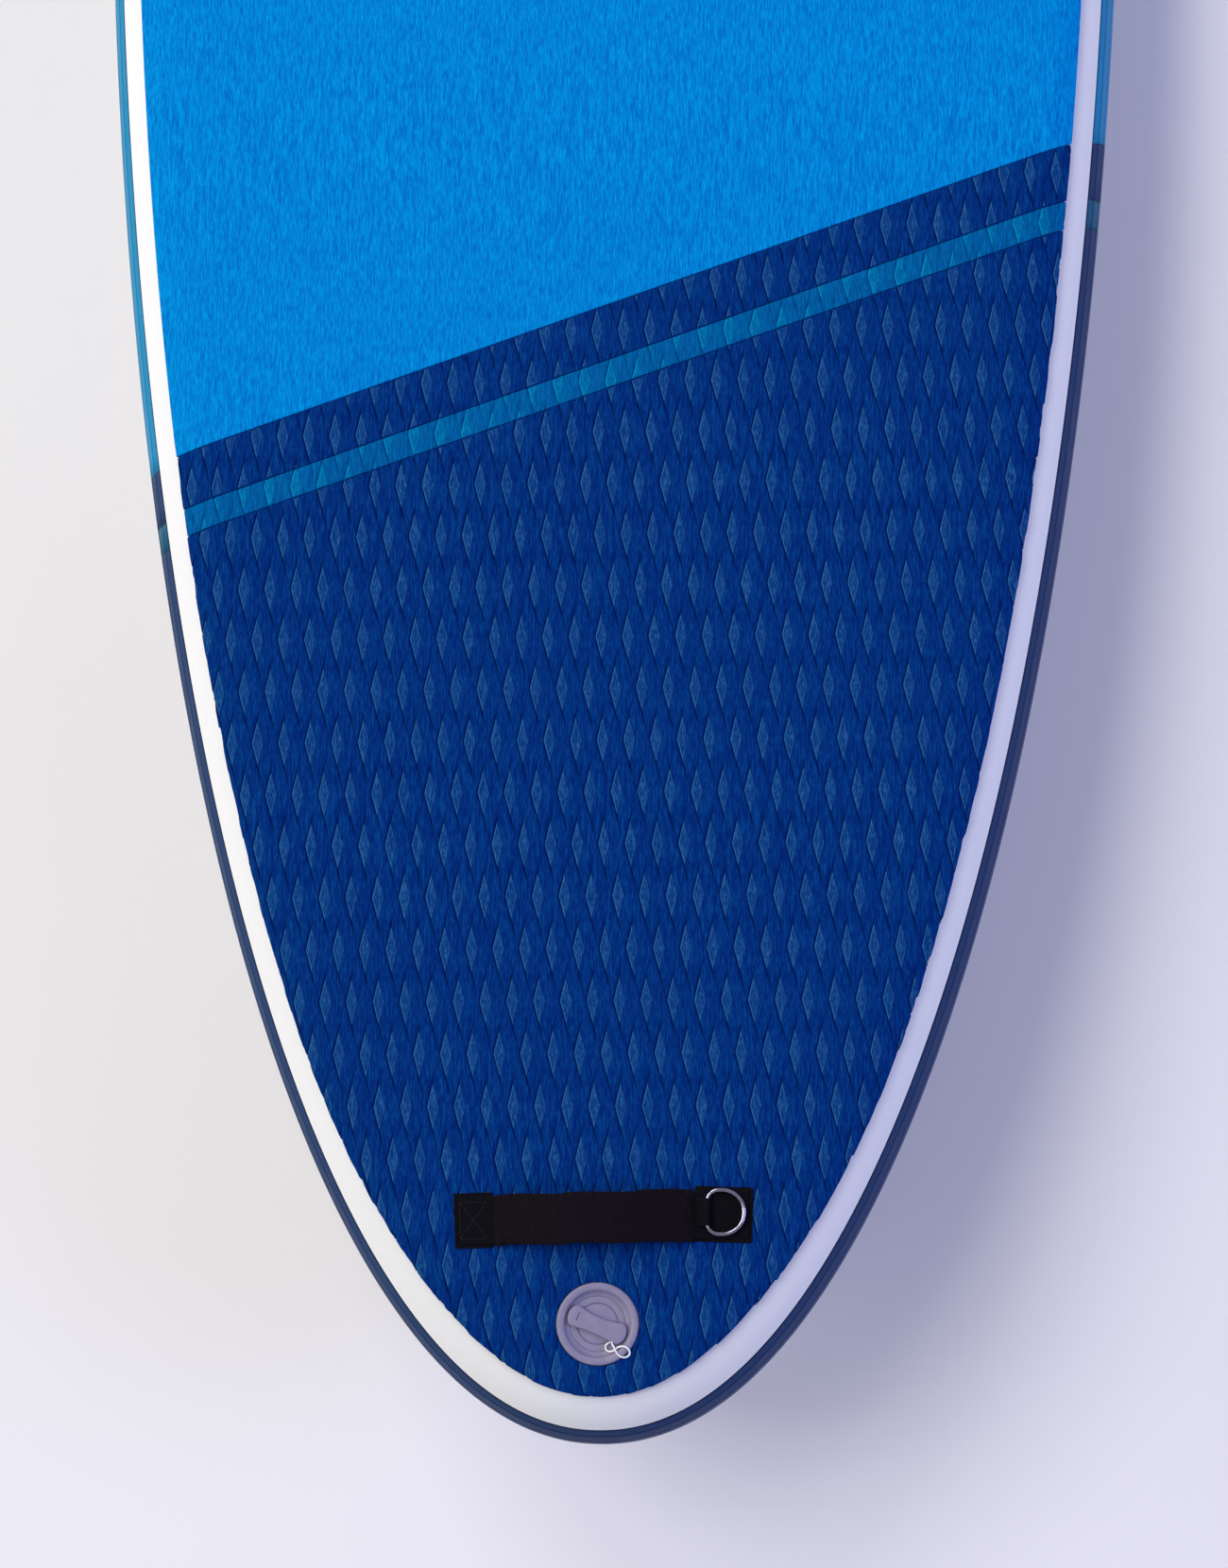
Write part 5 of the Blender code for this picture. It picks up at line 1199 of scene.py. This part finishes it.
def make_tail_handle():
    base = PAD_RADIUS + GAP
    strap_low = base + COVER + GAP
    height = strap_low + WEBBING / 2
    place = deck_place(TAIL_HANDLE_STATION, -TAIL_HANDLE_CENTRE, 0.0, math.pi / 2 + TAIL_HANDLE_TILT)
    half = TAIL_HANDLE_LENGTH / 2
    inner = (-half + STARBOARD_PATCH_LENGTH, half - PORT_PATCH_LENGTH)
    for side, outer_end, inner_end, skew in (
        ("port", half, inner[1], PORT_PATCH_SKEW),
        ("starboard", -half, inner[0], STARBOARD_PATCH_SKEW),
    ):
        length, middle = abs(outer_end - inner_end), (outer_end + inner_end) / 2
        add_patch("tail", side, length, HANDLE_PATCH_WIDTH, place, middle, base, "webbing_crossways", skew)
    end = half - (HANDLE_PATCH_WIDTH - WEBBING_WIDTH) / 2
    arch = (sum(inner) / 2, inner[1] - inner[0] + 2 * TAIL_HANDLE_LIFT_OFF, TAIL_HANDLE_RISE)
    add_strap("tail", place, (-end, end), arch, height, 90, "webbing_crossways")
    ends = (inner[0] + GAP, inner[1] - GAP)
    add_padding(
        "tail_sleeve", "tail_handle_sleeve", place, ends, arch, height, 120, sleeve_section,
        SEWN_LENGTH - GAP, SLEEVE_CLOTH,
    )
    rise = arch_height(TAIL_HANDLE_CENTRE + TAB_TAIL - TAIL_RING_FROM_CENTRE, arch)
    bar = strap_low + rise + WEBBING + GAP + RING_WIRE / 2 + GAP + TAB_LAYER
    ring_place = deck_place(TAIL_RING_STATION, -TAIL_RING_FROM_CENTRE, bar, -math.pi / 2)
    add_tab("tail_tab", ring_place, TAB_TAIL, "tail_ring_tab", "webbing_crossways")
    add_ring("tail_d_ring", ring_place, "tail_ring")
    top = height + WEBBING / 2 + STITCH_LIFT
    runs = box_and_cross(PORT_PATCH_LENGTH, WEBBING_WIDTH, (half + inner[1]) / 2, top)
    stitches("tail_handle_stitching", runs, place)


def make_sewn_handle(handle, place, base, length, arch, patch_size, sides, seam, steps, finish, add_grip=None):
    """A strap arched between two patches; the seam is given by its distances from the arch and the strap's end."""
    half = length / 2
    height = base + COVER + GAP + WEBBING / 2
    flat = half - arch[1] / 2 - seam[0]
    runs = []
    for side, sign in sides:
        add_patch(handle, side, *patch_size, place, sign * (half - patch_size[0] / 2), base)
        middle = sign * (half - seam[1] - flat / 2)
        runs += box_and_cross(flat, WEBBING_WIDTH, middle, height + WEBBING / 2 + STITCH_LIFT)
    end = half - (patch_size[1] - WEBBING_WIDTH) / 2
    add_strap(handle, place, (-end, end), arch, height, steps, finish)
    if add_grip:
        add_grip(place, arch, height)
    stitches(f"{handle}_stitching", runs, place)


def add_carry_grip(place, arch, height):
    ends = (-CARRY_GRIP_LENGTH / 2, CARRY_GRIP_LENGTH / 2)
    add_padding(
        "carry_grip", "carry_handle_grip", place, ends, arch, height, 90, grip_section,
        GRIP_SEWN_LENGTH, GRIP_CLOTH,
    )


def make_other_handles():
    make_sewn_handle(
        "carry", deck_place(CARRY_STATION, 0.0, 0.0), PAD_RADIUS + GAP, CARRY_LENGTH, (0.0, CARRY_SPAN, CARRY_RISE),
        (CARRY_PATCH_LENGTH, CARRY_PATCH_WIDTH), (("rear", -1), ("front", 1)), CARRY_SEAM, 120,
        "webbing_lengthways", add_carry_grip,
    )
    make_sewn_handle(
        "nose", deck_place(NOSE_HANDLE_STATION, 0.0, 0.0, math.pi / 2), HULL_RADIUS + 2 * GAP, NOSE_HANDLE_LENGTH,
        (0.0, NOSE_HANDLE_SPAN, NOSE_HANDLE_RISE), (NOSE_PATCH_LENGTH, NOSE_PATCH_WIDTH),
        (("port", 1), ("starboard", -1)), NOSE_SEAM, 90, "webbing_crossways",
    )


# Rings and anchors
def add_ring(name, place, body):
    """A D-shaped ring: its bar lies on local y and its bow reaches to +x. Its node has its body's name."""
    half = RING_WIDTH / 2
    bar = half - RING_CORNER
    path = [(0.0, y) for y in np.linspace(-bar, bar, 14)]
    for x, y, radius, angles in (
        (RING_CORNER, bar, RING_CORNER, np.linspace(math.pi, math.pi / 2, 9)[1:]),
        (RING_DEPTH - half, 0.0, half, np.linspace(math.pi / 2, -math.pi / 2, 49)),
        (RING_CORNER, -bar, RING_CORNER, np.linspace(-math.pi / 2, -math.pi, 9)[:-1]),
    ):
        path += [(x + radius * math.cos(angle), y + radius * math.sin(angle)) for angle in angles]
    stout = [RING_WIRE / 2 + RING_BOW_EXTRA * min(1.0, x / RING_CORNER) for x, _ in path]
    rings = tube_rings(raised(path, 0.0), stout, 20, closed=True)
    add_piece(name, solid(rings, place, loop=True, sharp=80.0), "chrome", body, body=body)


def add_tab(name, place, tail, node_name, finish):
    """A webbing loop round a ring's bar, both layers of its tail lying flat towards -x."""
    middle = RING_WIRE / 2 + GAP + TAB_LAYER / 2
    path = [(x, -middle) for x in np.linspace(-tail, -TAB_NIP, 10)]
    path += [(middle * math.cos(a), middle * math.sin(a)) for a in np.linspace(-math.pi / 2, TAB_WRAP, 26)]
    drop_to = -middle + TAB_LAYER + TAB_PARTING
    x, z = path[-1]
    for share in np.linspace(0.0, 1.0, 8)[1:]:
        path.append((x - TAB_DROP_RUN * share, z + (drop_to - z) * share * share * (3.0 - 2.0 * share)))
    path += [(x, drop_to) for x in np.linspace(path[-1][0] - 0.0004, -tail, 8)]
    rings = strap_rings(path, strip_section(TAB_WIDTH, TAB_LAYER, TAB_LAYER / 2, 10))
    add_piece(name, solid(rings, place), "black_webbing", node_name, finishes=(finish,))


def add_anchor(label, place, low):
    """A round welded patch that carries a webbing loop."""
    top = low + ANCHOR_THICKNESS
    rings = plate_rings(circle(72, ANCHOR_RADIUS) + (-ANCHOR_TAIL / 2, 0.0), low, top, COVER * 0.6)
    add_piece(f"{label}_patch", solid(rings, place), "black_webbing", finishes=("patch_pvc",))
    add_tab(f"{label}_tab", place, ANCHOR_TAIL, f"{label}_anchor", "webbing_lengthways")
    length, middle = ANCHOR_TAIL - ANCHOR_BOX_SHORTER, -ANCHOR_TAIL / 2 - ANCHOR_BOX_SHIFT
    runs = box_and_cross(length, TAB_WIDTH, middle, top + 2 * TAB_LAYER, ANCHOR_BOX_MARGIN)
    stitches(f"{label}_stitching", runs, place, ANCHOR_STITCH)


def make_anchors():
    low = -(RING_WIRE / 2 + GAP + TAB_LAYER) + TAB_LAYER / 4 - COVER
    lift = HULL_RADIUS + 2 * GAP - low
    for where, station, spread, turn in CARGO_SPOTS:
        for side, sign in (("port", 1.0), ("starboard", -1.0)):
            label = f"cargo_{where}_{side}"
            place = deck_place(station, sign * spread, lift, turn)
            add_anchor(label, place, low)
            add_ring(f"{label}_d_ring", place, f"{label}_ring")
    add_anchor("tow", deck_place(TOW_STATION, 0.0, -lift) @ Matrix.Rotation(math.pi, 4, "X"), low)
    hinge = Vector(JOINTS["tow_ring_hinge"]["pos_m"])
    add_ring("tow_d_ring", Matrix.Translation(hinge) @ Matrix.Rotation(math.pi / 2, 4, "Y"), "tow_ring")


# Inflation valve
def grip_outline(steps=24):
    """The grip bar seen from above: waisted more on one side, with round ends."""
    (waist, end), (other_waist, other_end) = GRIP_SIDES
    reach = (end + other_end) / 2
    corner = reach * 0.7
    straight = GRIP_LENGTH / 2 - corner
    share = np.arange(-steps, steps + 1) / steps
    upper = np.column_stack((straight * share, waist + (end - waist) * share**2))
    lower = np.column_stack((straight * share, -other_waist - (other_end - other_waist) * share**2))
    angle = math.pi / 2 - math.pi * np.arange(1, 16) / 16
    tip = np.column_stack((straight + corner * np.cos(angle), (end - other_end) / 2 + reach * np.sin(angle)))
    return np.vstack((upper, tip, lower[::-1], tip[::-1] * (-1.0, 1.0)))[::-1]


def make_valve():
    place = deck_place(VALVE_STATION, 0.0, HULL_RADIUS)
    bottom = VALVE_SEAT - SEAT_THICKNESS
    foot = Vector((CAP_SEAT_RADIUS + 0.0002, CAP_DISC_TOP))
    lip = Vector((WELL_TOP_RADIUS, FLANGE_TOP - LIP_DROP))
    hollow = Vector((WELL_TOP_RADIUS - 0.0010, WELL_BEND))
    shell = [
        lip,
        (WELL_TOP_RADIUS + LIP_WIDTH, FLANGE_TOP - 0.0001),
        (FLANGE_RADIUS - FLANGE_BEVEL, FLANGE_TOP),
        (FLANGE_RADIUS, FLANGE_TOP - FLANGE_BEVEL),
        (FLANGE_RADIUS, FLANGE_UNDERSIDE),
        (BARREL_RADIUS, FLANGE_UNDERSIDE),
        (BARREL_RADIUS, bottom),
        (SEAT_HOLE_RADIUS, bottom),
        (SEAT_HOLE_RADIUS, VALVE_SEAT),
        (BORE_RADIUS, VALVE_SEAT),
        (BORE_RADIUS, CAP_SEAT),
        (CAP_SEAT_RADIUS, CAP_SEAT),
        (CAP_SEAT_RADIUS, CAP_DISC_TOP - 0.0003),
        *interpolate_bezier(foot, foot.lerp(hollow, 0.7), lip.lerp(hollow, 0.7), lip, 10)[:-1],
    ]
    add_turned("valve_shell", shell, 0.0008, place, "grey_plastic", "valve_body")
    inner, outer = HUB_RADIUS - 0.0004, BORE_RADIUS - CUT_CLEARANCE
    arm = rounded_rectangle(outer - inner, GUIDE_ARM_WIDTH, 0.0008, 4) + ((inner + outer) / 2, 0.0)
    rings = plate_rings(arm, VALVE_SEAT + GAP, HUB_TOP - GUIDE_ARM_DROP, 0.0004)
    for i in range(3):
        turn = Matrix.Rotation(math.tau * i / 3 + math.pi / 2, 4, "Z")
        add_piece(f"valve_guide_arm_{i}", solid(rings, place @ turn), "grey_plastic")
    stem_hole = STEM_RADIUS + GAP
    hub = collar(stem_hole, HUB_RADIUS, HUB_TOP, HUB_HEIGHT)
    add_turned("valve_guide_hub", hub, 0.0004, place, "grey_plastic", "valve_guide", steps=48)
    inner = BARREL_RADIUS + CUT_CLEARANCE
    gasket = collar(inner, GASKET_RADIUS, FLANGE_UNDERSIDE - GAP, GASKET_THICKNESS)
    add_turned("gasket", gasket, 0.0002, place, "black_rubber", "valve_gasket")
    nut = [
        (inner, NUT_TOP),
        (NUT_RADIUS, NUT_TOP),
        (NUT_RADIUS, NUT_TOP - NUT_FLANGE),
        (NUT_COLLAR_RADIUS, NUT_TOP - NUT_FLANGE - GAP),
        (NUT_COLLAR_RADIUS, NUT_TOP - NUT_HEIGHT),
        (inner, NUT_TOP - NUT_HEIGHT),
    ]
    add_turned("clamp_nut", nut, 0.0005, place, "grey_plastic", "valve_clamp_nut")
    seal_top = bottom - GAP
    make_plunger(place, seal_top - SEAL_THICKNESS - GAP)
    seal = collar(stem_hole, SEAL_RADIUS, seal_top, SEAL_THICKNESS)
    add_turned("seal", seal, 0.0008, place, "black_rubber", "valve_seal", body="plunger")
    make_spring(place)
    make_cap(place)
    make_cap_cord(place)


def make_plunger(place, carrier_top):
    button_low = BUTTON_TOP - BUTTON_THICKNESS
    stem = [
        (0.0, BUTTON_TOP),
        (BUTTON_RADIUS, BUTTON_TOP),
        (BUTTON_RADIUS, button_low),
        (STEM_RADIUS, button_low),
        (STEM_RADIUS, carrier_top),
        (CARRIER_RADIUS, carrier_top),
        (CARRIER_RADIUS, carrier_top - CARRIER_THICKNESS),
        (0.0, carrier_top - CARRIER_THICKNESS),
    ]
    add_turned(
        "plunger", stem, 0.0006, place, "grey_plastic", "valve_plunger", body="plunger", closed=False, steps=64
    )


def make_spring(place):
    low = HUB_TOP + GAP + SPRING_WIRE / 2
    high = BUTTON_TOP - BUTTON_THICKNESS - GAP - SPRING_WIRE / 2
    share = np.linspace(0.0, 1.0, SPRING_TURNS * 28 + 1)
    angle = math.tau * SPRING_TURNS * share
    path = np.column_stack((SPRING_RADIUS * np.cos(angle), SPRING_RADIUS * np.sin(angle), low + (high - low) * share))
    mesh = solid(tube_rings(path, SPRING_WIRE / 2, 10), place, sharp=60.0)
    spring = add_piece("spring", mesh, "spring_steel", "valve_spring")
    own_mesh(spring)


def make_cap(place):
    edge = CAP_SEAT_RADIUS - CAP_CLEARANCE
    inside = SKIRT_RADIUS - SKIRT_WALL
    ceiling = BUTTON_TOP + (CAP_DISC_TOP - BUTTON_TOP) / 2
    profile = [
        (0.0, CAP_DISC_TOP - CAP_DISC_DIP),
        (CAP_GROOVE_RADIUS - CAP_GROOVE_HALF, CAP_DISC_TOP - CAP_DISC_DIP),
        (CAP_GROOVE_RADIUS, CAP_DISC_TOP - CAP_GROOVE_DEPTH),
        (CAP_GROOVE_RADIUS + CAP_GROOVE_HALF, CAP_DISC_TOP),
        (edge - CAP_EDGE_ROUNDING, CAP_DISC_TOP),
        (edge - CAP_EDGE_ROUNDING * 0.3, CAP_DISC_TOP - CAP_EDGE_ROUNDING * 0.3),
        (edge, CAP_DISC_TOP - CAP_EDGE_ROUNDING),
        (edge, CAP_SEAT + GAP),
        (SKIRT_RADIUS, CAP_SEAT + GAP),
        (SKIRT_RADIUS, GROOVE_TOP),
        (GROOVE_RADIUS, GROOVE_TOP),
        (GROOVE_RADIUS, GROOVE_TOP - GROOVE_HEIGHT),
        (SKIRT_RADIUS, GROOVE_TOP - GROOVE_HEIGHT),
        (SKIRT_RADIUS, SKIRT_BOTTOM),
        (inside, SKIRT_BOTTOM),
        (inside, ceiling),
        (0.0, ceiling),
    ]
    add_turned("cap_plug", profile, 0.0004, place, "grey_plastic", "valve_cap", body="cap", closed=False)
    turn = place @ Matrix.Rotation(-math.pi / 2 - GRIP_ANGLE, 4, "Z")
    low = WELL_FLOOR + GAP
    outline = grip_outline()
    foot = raised(outline * (1.0 - GRIP_OVERHANG / (GRIP_LENGTH / 2), 1.0), low)
    rings = [foot, foot + (0.0, 0.0, GRIP_FOOT)]
    rings += plate_rings(outline, low + GRIP_OVERHANG_RISE, GRIP_TOP, GRIP_ROUNDING)
    wide, long, deep = GRIP_SLOT_SIZE
    slot = rounded_rectangle(wide, long, wide * 0.4, 4) + GRIP_SLOT
    slot = solid(plate_rings(slot, GRIP_TOP - deep, GRIP_TOP + deep, 0.0001), turn)
    add_piece("cap_grip_bar", carved(solid(rings, turn), slot), "grey_plastic", body="cap")
    path = raised(circle(VALVE_STEPS, O_RING_RADIUS), GROOVE_TOP - GROOVE_HEIGHT / 2)
    mesh = solid(tube_rings(path, O_RING_WIRE / 2, 12, closed=True), place, loop=True, sharp=80.0)
    add_piece("o_ring", mesh, "black_rubber", "cap_o_ring", body="cap_seal")


def make_cap_cord(place):
    """The thin white loop that is knotted into the side of the grip bar, a smooth curve through its route."""
    route = [Vector(point) for point in (CORD_ROUTE[0], *CORD_ROUTE, CORD_ROUTE[-1])]
    line = [route[1]]
    for before, start, end, after in zip(route, route[1:], route[2:], route[3:]):
        handles = (start + (end - before) / 6, end - (after - start) / 6)
        line += interpolate_bezier(start, *handles, end, CORD_FINENESS)[1:]
    path = [tuple(place @ point) for point in line]
    mesh = solid(tube_rings(path, CORD_DIAMETER / 2, 14), Matrix.Identity(4), sharp=80.0)
    cord = add_piece("cap_cord_loop", mesh, "white_cord", "cap_cord", body="cap")


# Fins
def fin_rings(steps=36, around=40):
    """Foil sections from the root, which goes into the base, to the thin tip; x from the root's middle."""
    lead, trail = (
        interpolate_bezier(*(Vector((FIN_CHORD * x - FIN_RAKE * raked, -FIN_DEPTH * z)) for x, raked, z in edge), steps)
        for edge in (FIN_LEAD, FIN_TRAIL)
    )
    shares = (1.0 - np.cos(np.linspace(0.0, math.pi, around // 2 + 1))) / 2
    foil = 1.4 * np.sqrt(shares) * (1.0 - shares) ** 0.62 + 0.04 * (1.0 - shares)
    foil /= foil.max()
    rings = []
    for a, b, rise in ((lead[0], trail[0], FIN_ROOT), *((a, b, 0.0) for a, b in zip(lead, trail))):
        half = FIN_THICKNESS / 2 * (1.0 - FIN_THINNING * (-a.y / FIN_DEPTH) ** 1.5)
        upper = np.column_stack((a.x + (b.x - a.x) * shares, half * foil, a.y + (b.y - a.y) * shares + rise))
        rings.append(np.vstack((upper, upper[-2:0:-1] * (1.0, -1.0, 1.0))))
    return rings


def make_fins():
    face = -(HULL_RADIUS + GAP)
    blade = fin_rings()
    outline = rounded_rectangle(FIN_CHORD + 2 * FIN_BASE_OVERHANG, FIN_BASE_WIDTH, FIN_BASE_CORNER, 16)
    box = plate_rings(outline, 0.0, FIN_BASE_HEIGHT, FIN_BASE_ROUNDING, 8)
    for label, station, across in FIN_SPOTS:
        root = REST @ Matrix.Translation((station, across, face - FIN_BASE_HEIGHT))
        add_piece(f"fin_blade_{label}", solid(blade, root, sharp=50.0), "fin_plastic", f"fin_{label}")
        under = REST @ Matrix.Translation((station, across, face)) @ Matrix.Rotation(math.pi, 4, "X")
        add_piece(f"fin_box_{label}", solid(box, under, sharp=50.0), "black_rubber", f"fin_base_{label}")


def dress(name, finish):
    for place in frame["nodes"][name].material_slots:
        place.material = FINISH[finish]


def dress_inner_pieces():
    """Sealed inner pieces keep their solids."""
    for name in ("deck_panel", "deck_panel_nose", "bottom_panel", "side_wall_port", "side_wall_starboard"):
        dress(name, "chamber_fabric")
    dress("drop_threads", "thread")


# Stage and light
def add_stage():
    corners = [(x * FLOOR_REACH, y * FLOOR_REACH, 0.0) for x, y in ((-1, -1), (1, -1), (1, 1), (-1, 1))]
    mesh = mesh_from(corners, [(0, 1, 2, 3)])
    mesh.materials.append(FINISH["pale_floor"])
    linked("floor", mesh)


def add_light():
    world = bpy.data.worlds.new("studio")
    bpy.context.scene.world = world
    world.use_nodes = True
    tree = world.node_tree
    tree.nodes.clear()
    rays = node(tree, "LightPath", {}).outputs
    straight = {0: rays["Is Camera Ray"], 1: rays["Is Transmission Ray"]}
    mix = {0: node(tree, "Math", straight, operation="MAXIMUM").outputs[0]}
    for place, (colour, strength) in enumerate((AMBIENT, BACKDROP), 1):
        mix[place] = node(tree, "Background", {"Color": colour, "Strength": strength}).outputs[0]
    node(tree, "OutputWorld", {"Surface": node(tree, "MixShader", mix).outputs[0]})
    for name, spot, target, size, power, colour in LAMPS:
        data = bpy.data.lights.new(name, "AREA")
        data.shape = "RECTANGLE"
        data.size, data.size_y = size
        data.energy = power
        data.color = colour
        turn = (Vector(target) - Vector(spot)).to_track_quat("-Z", "Y").to_matrix().to_4x4()
        linked(name, data).matrix_world = Matrix.Translation(spot) @ turn


add_camera()
make_valve()
make_rail_covers()
make_white_skins()
make_pads()
make_tail_handle()
make_other_handles()
make_anchors()
make_fins()
dress_inner_pieces()
add_stage()
add_light()
bpy.context.scene.view_settings.view_transform = "Standard"
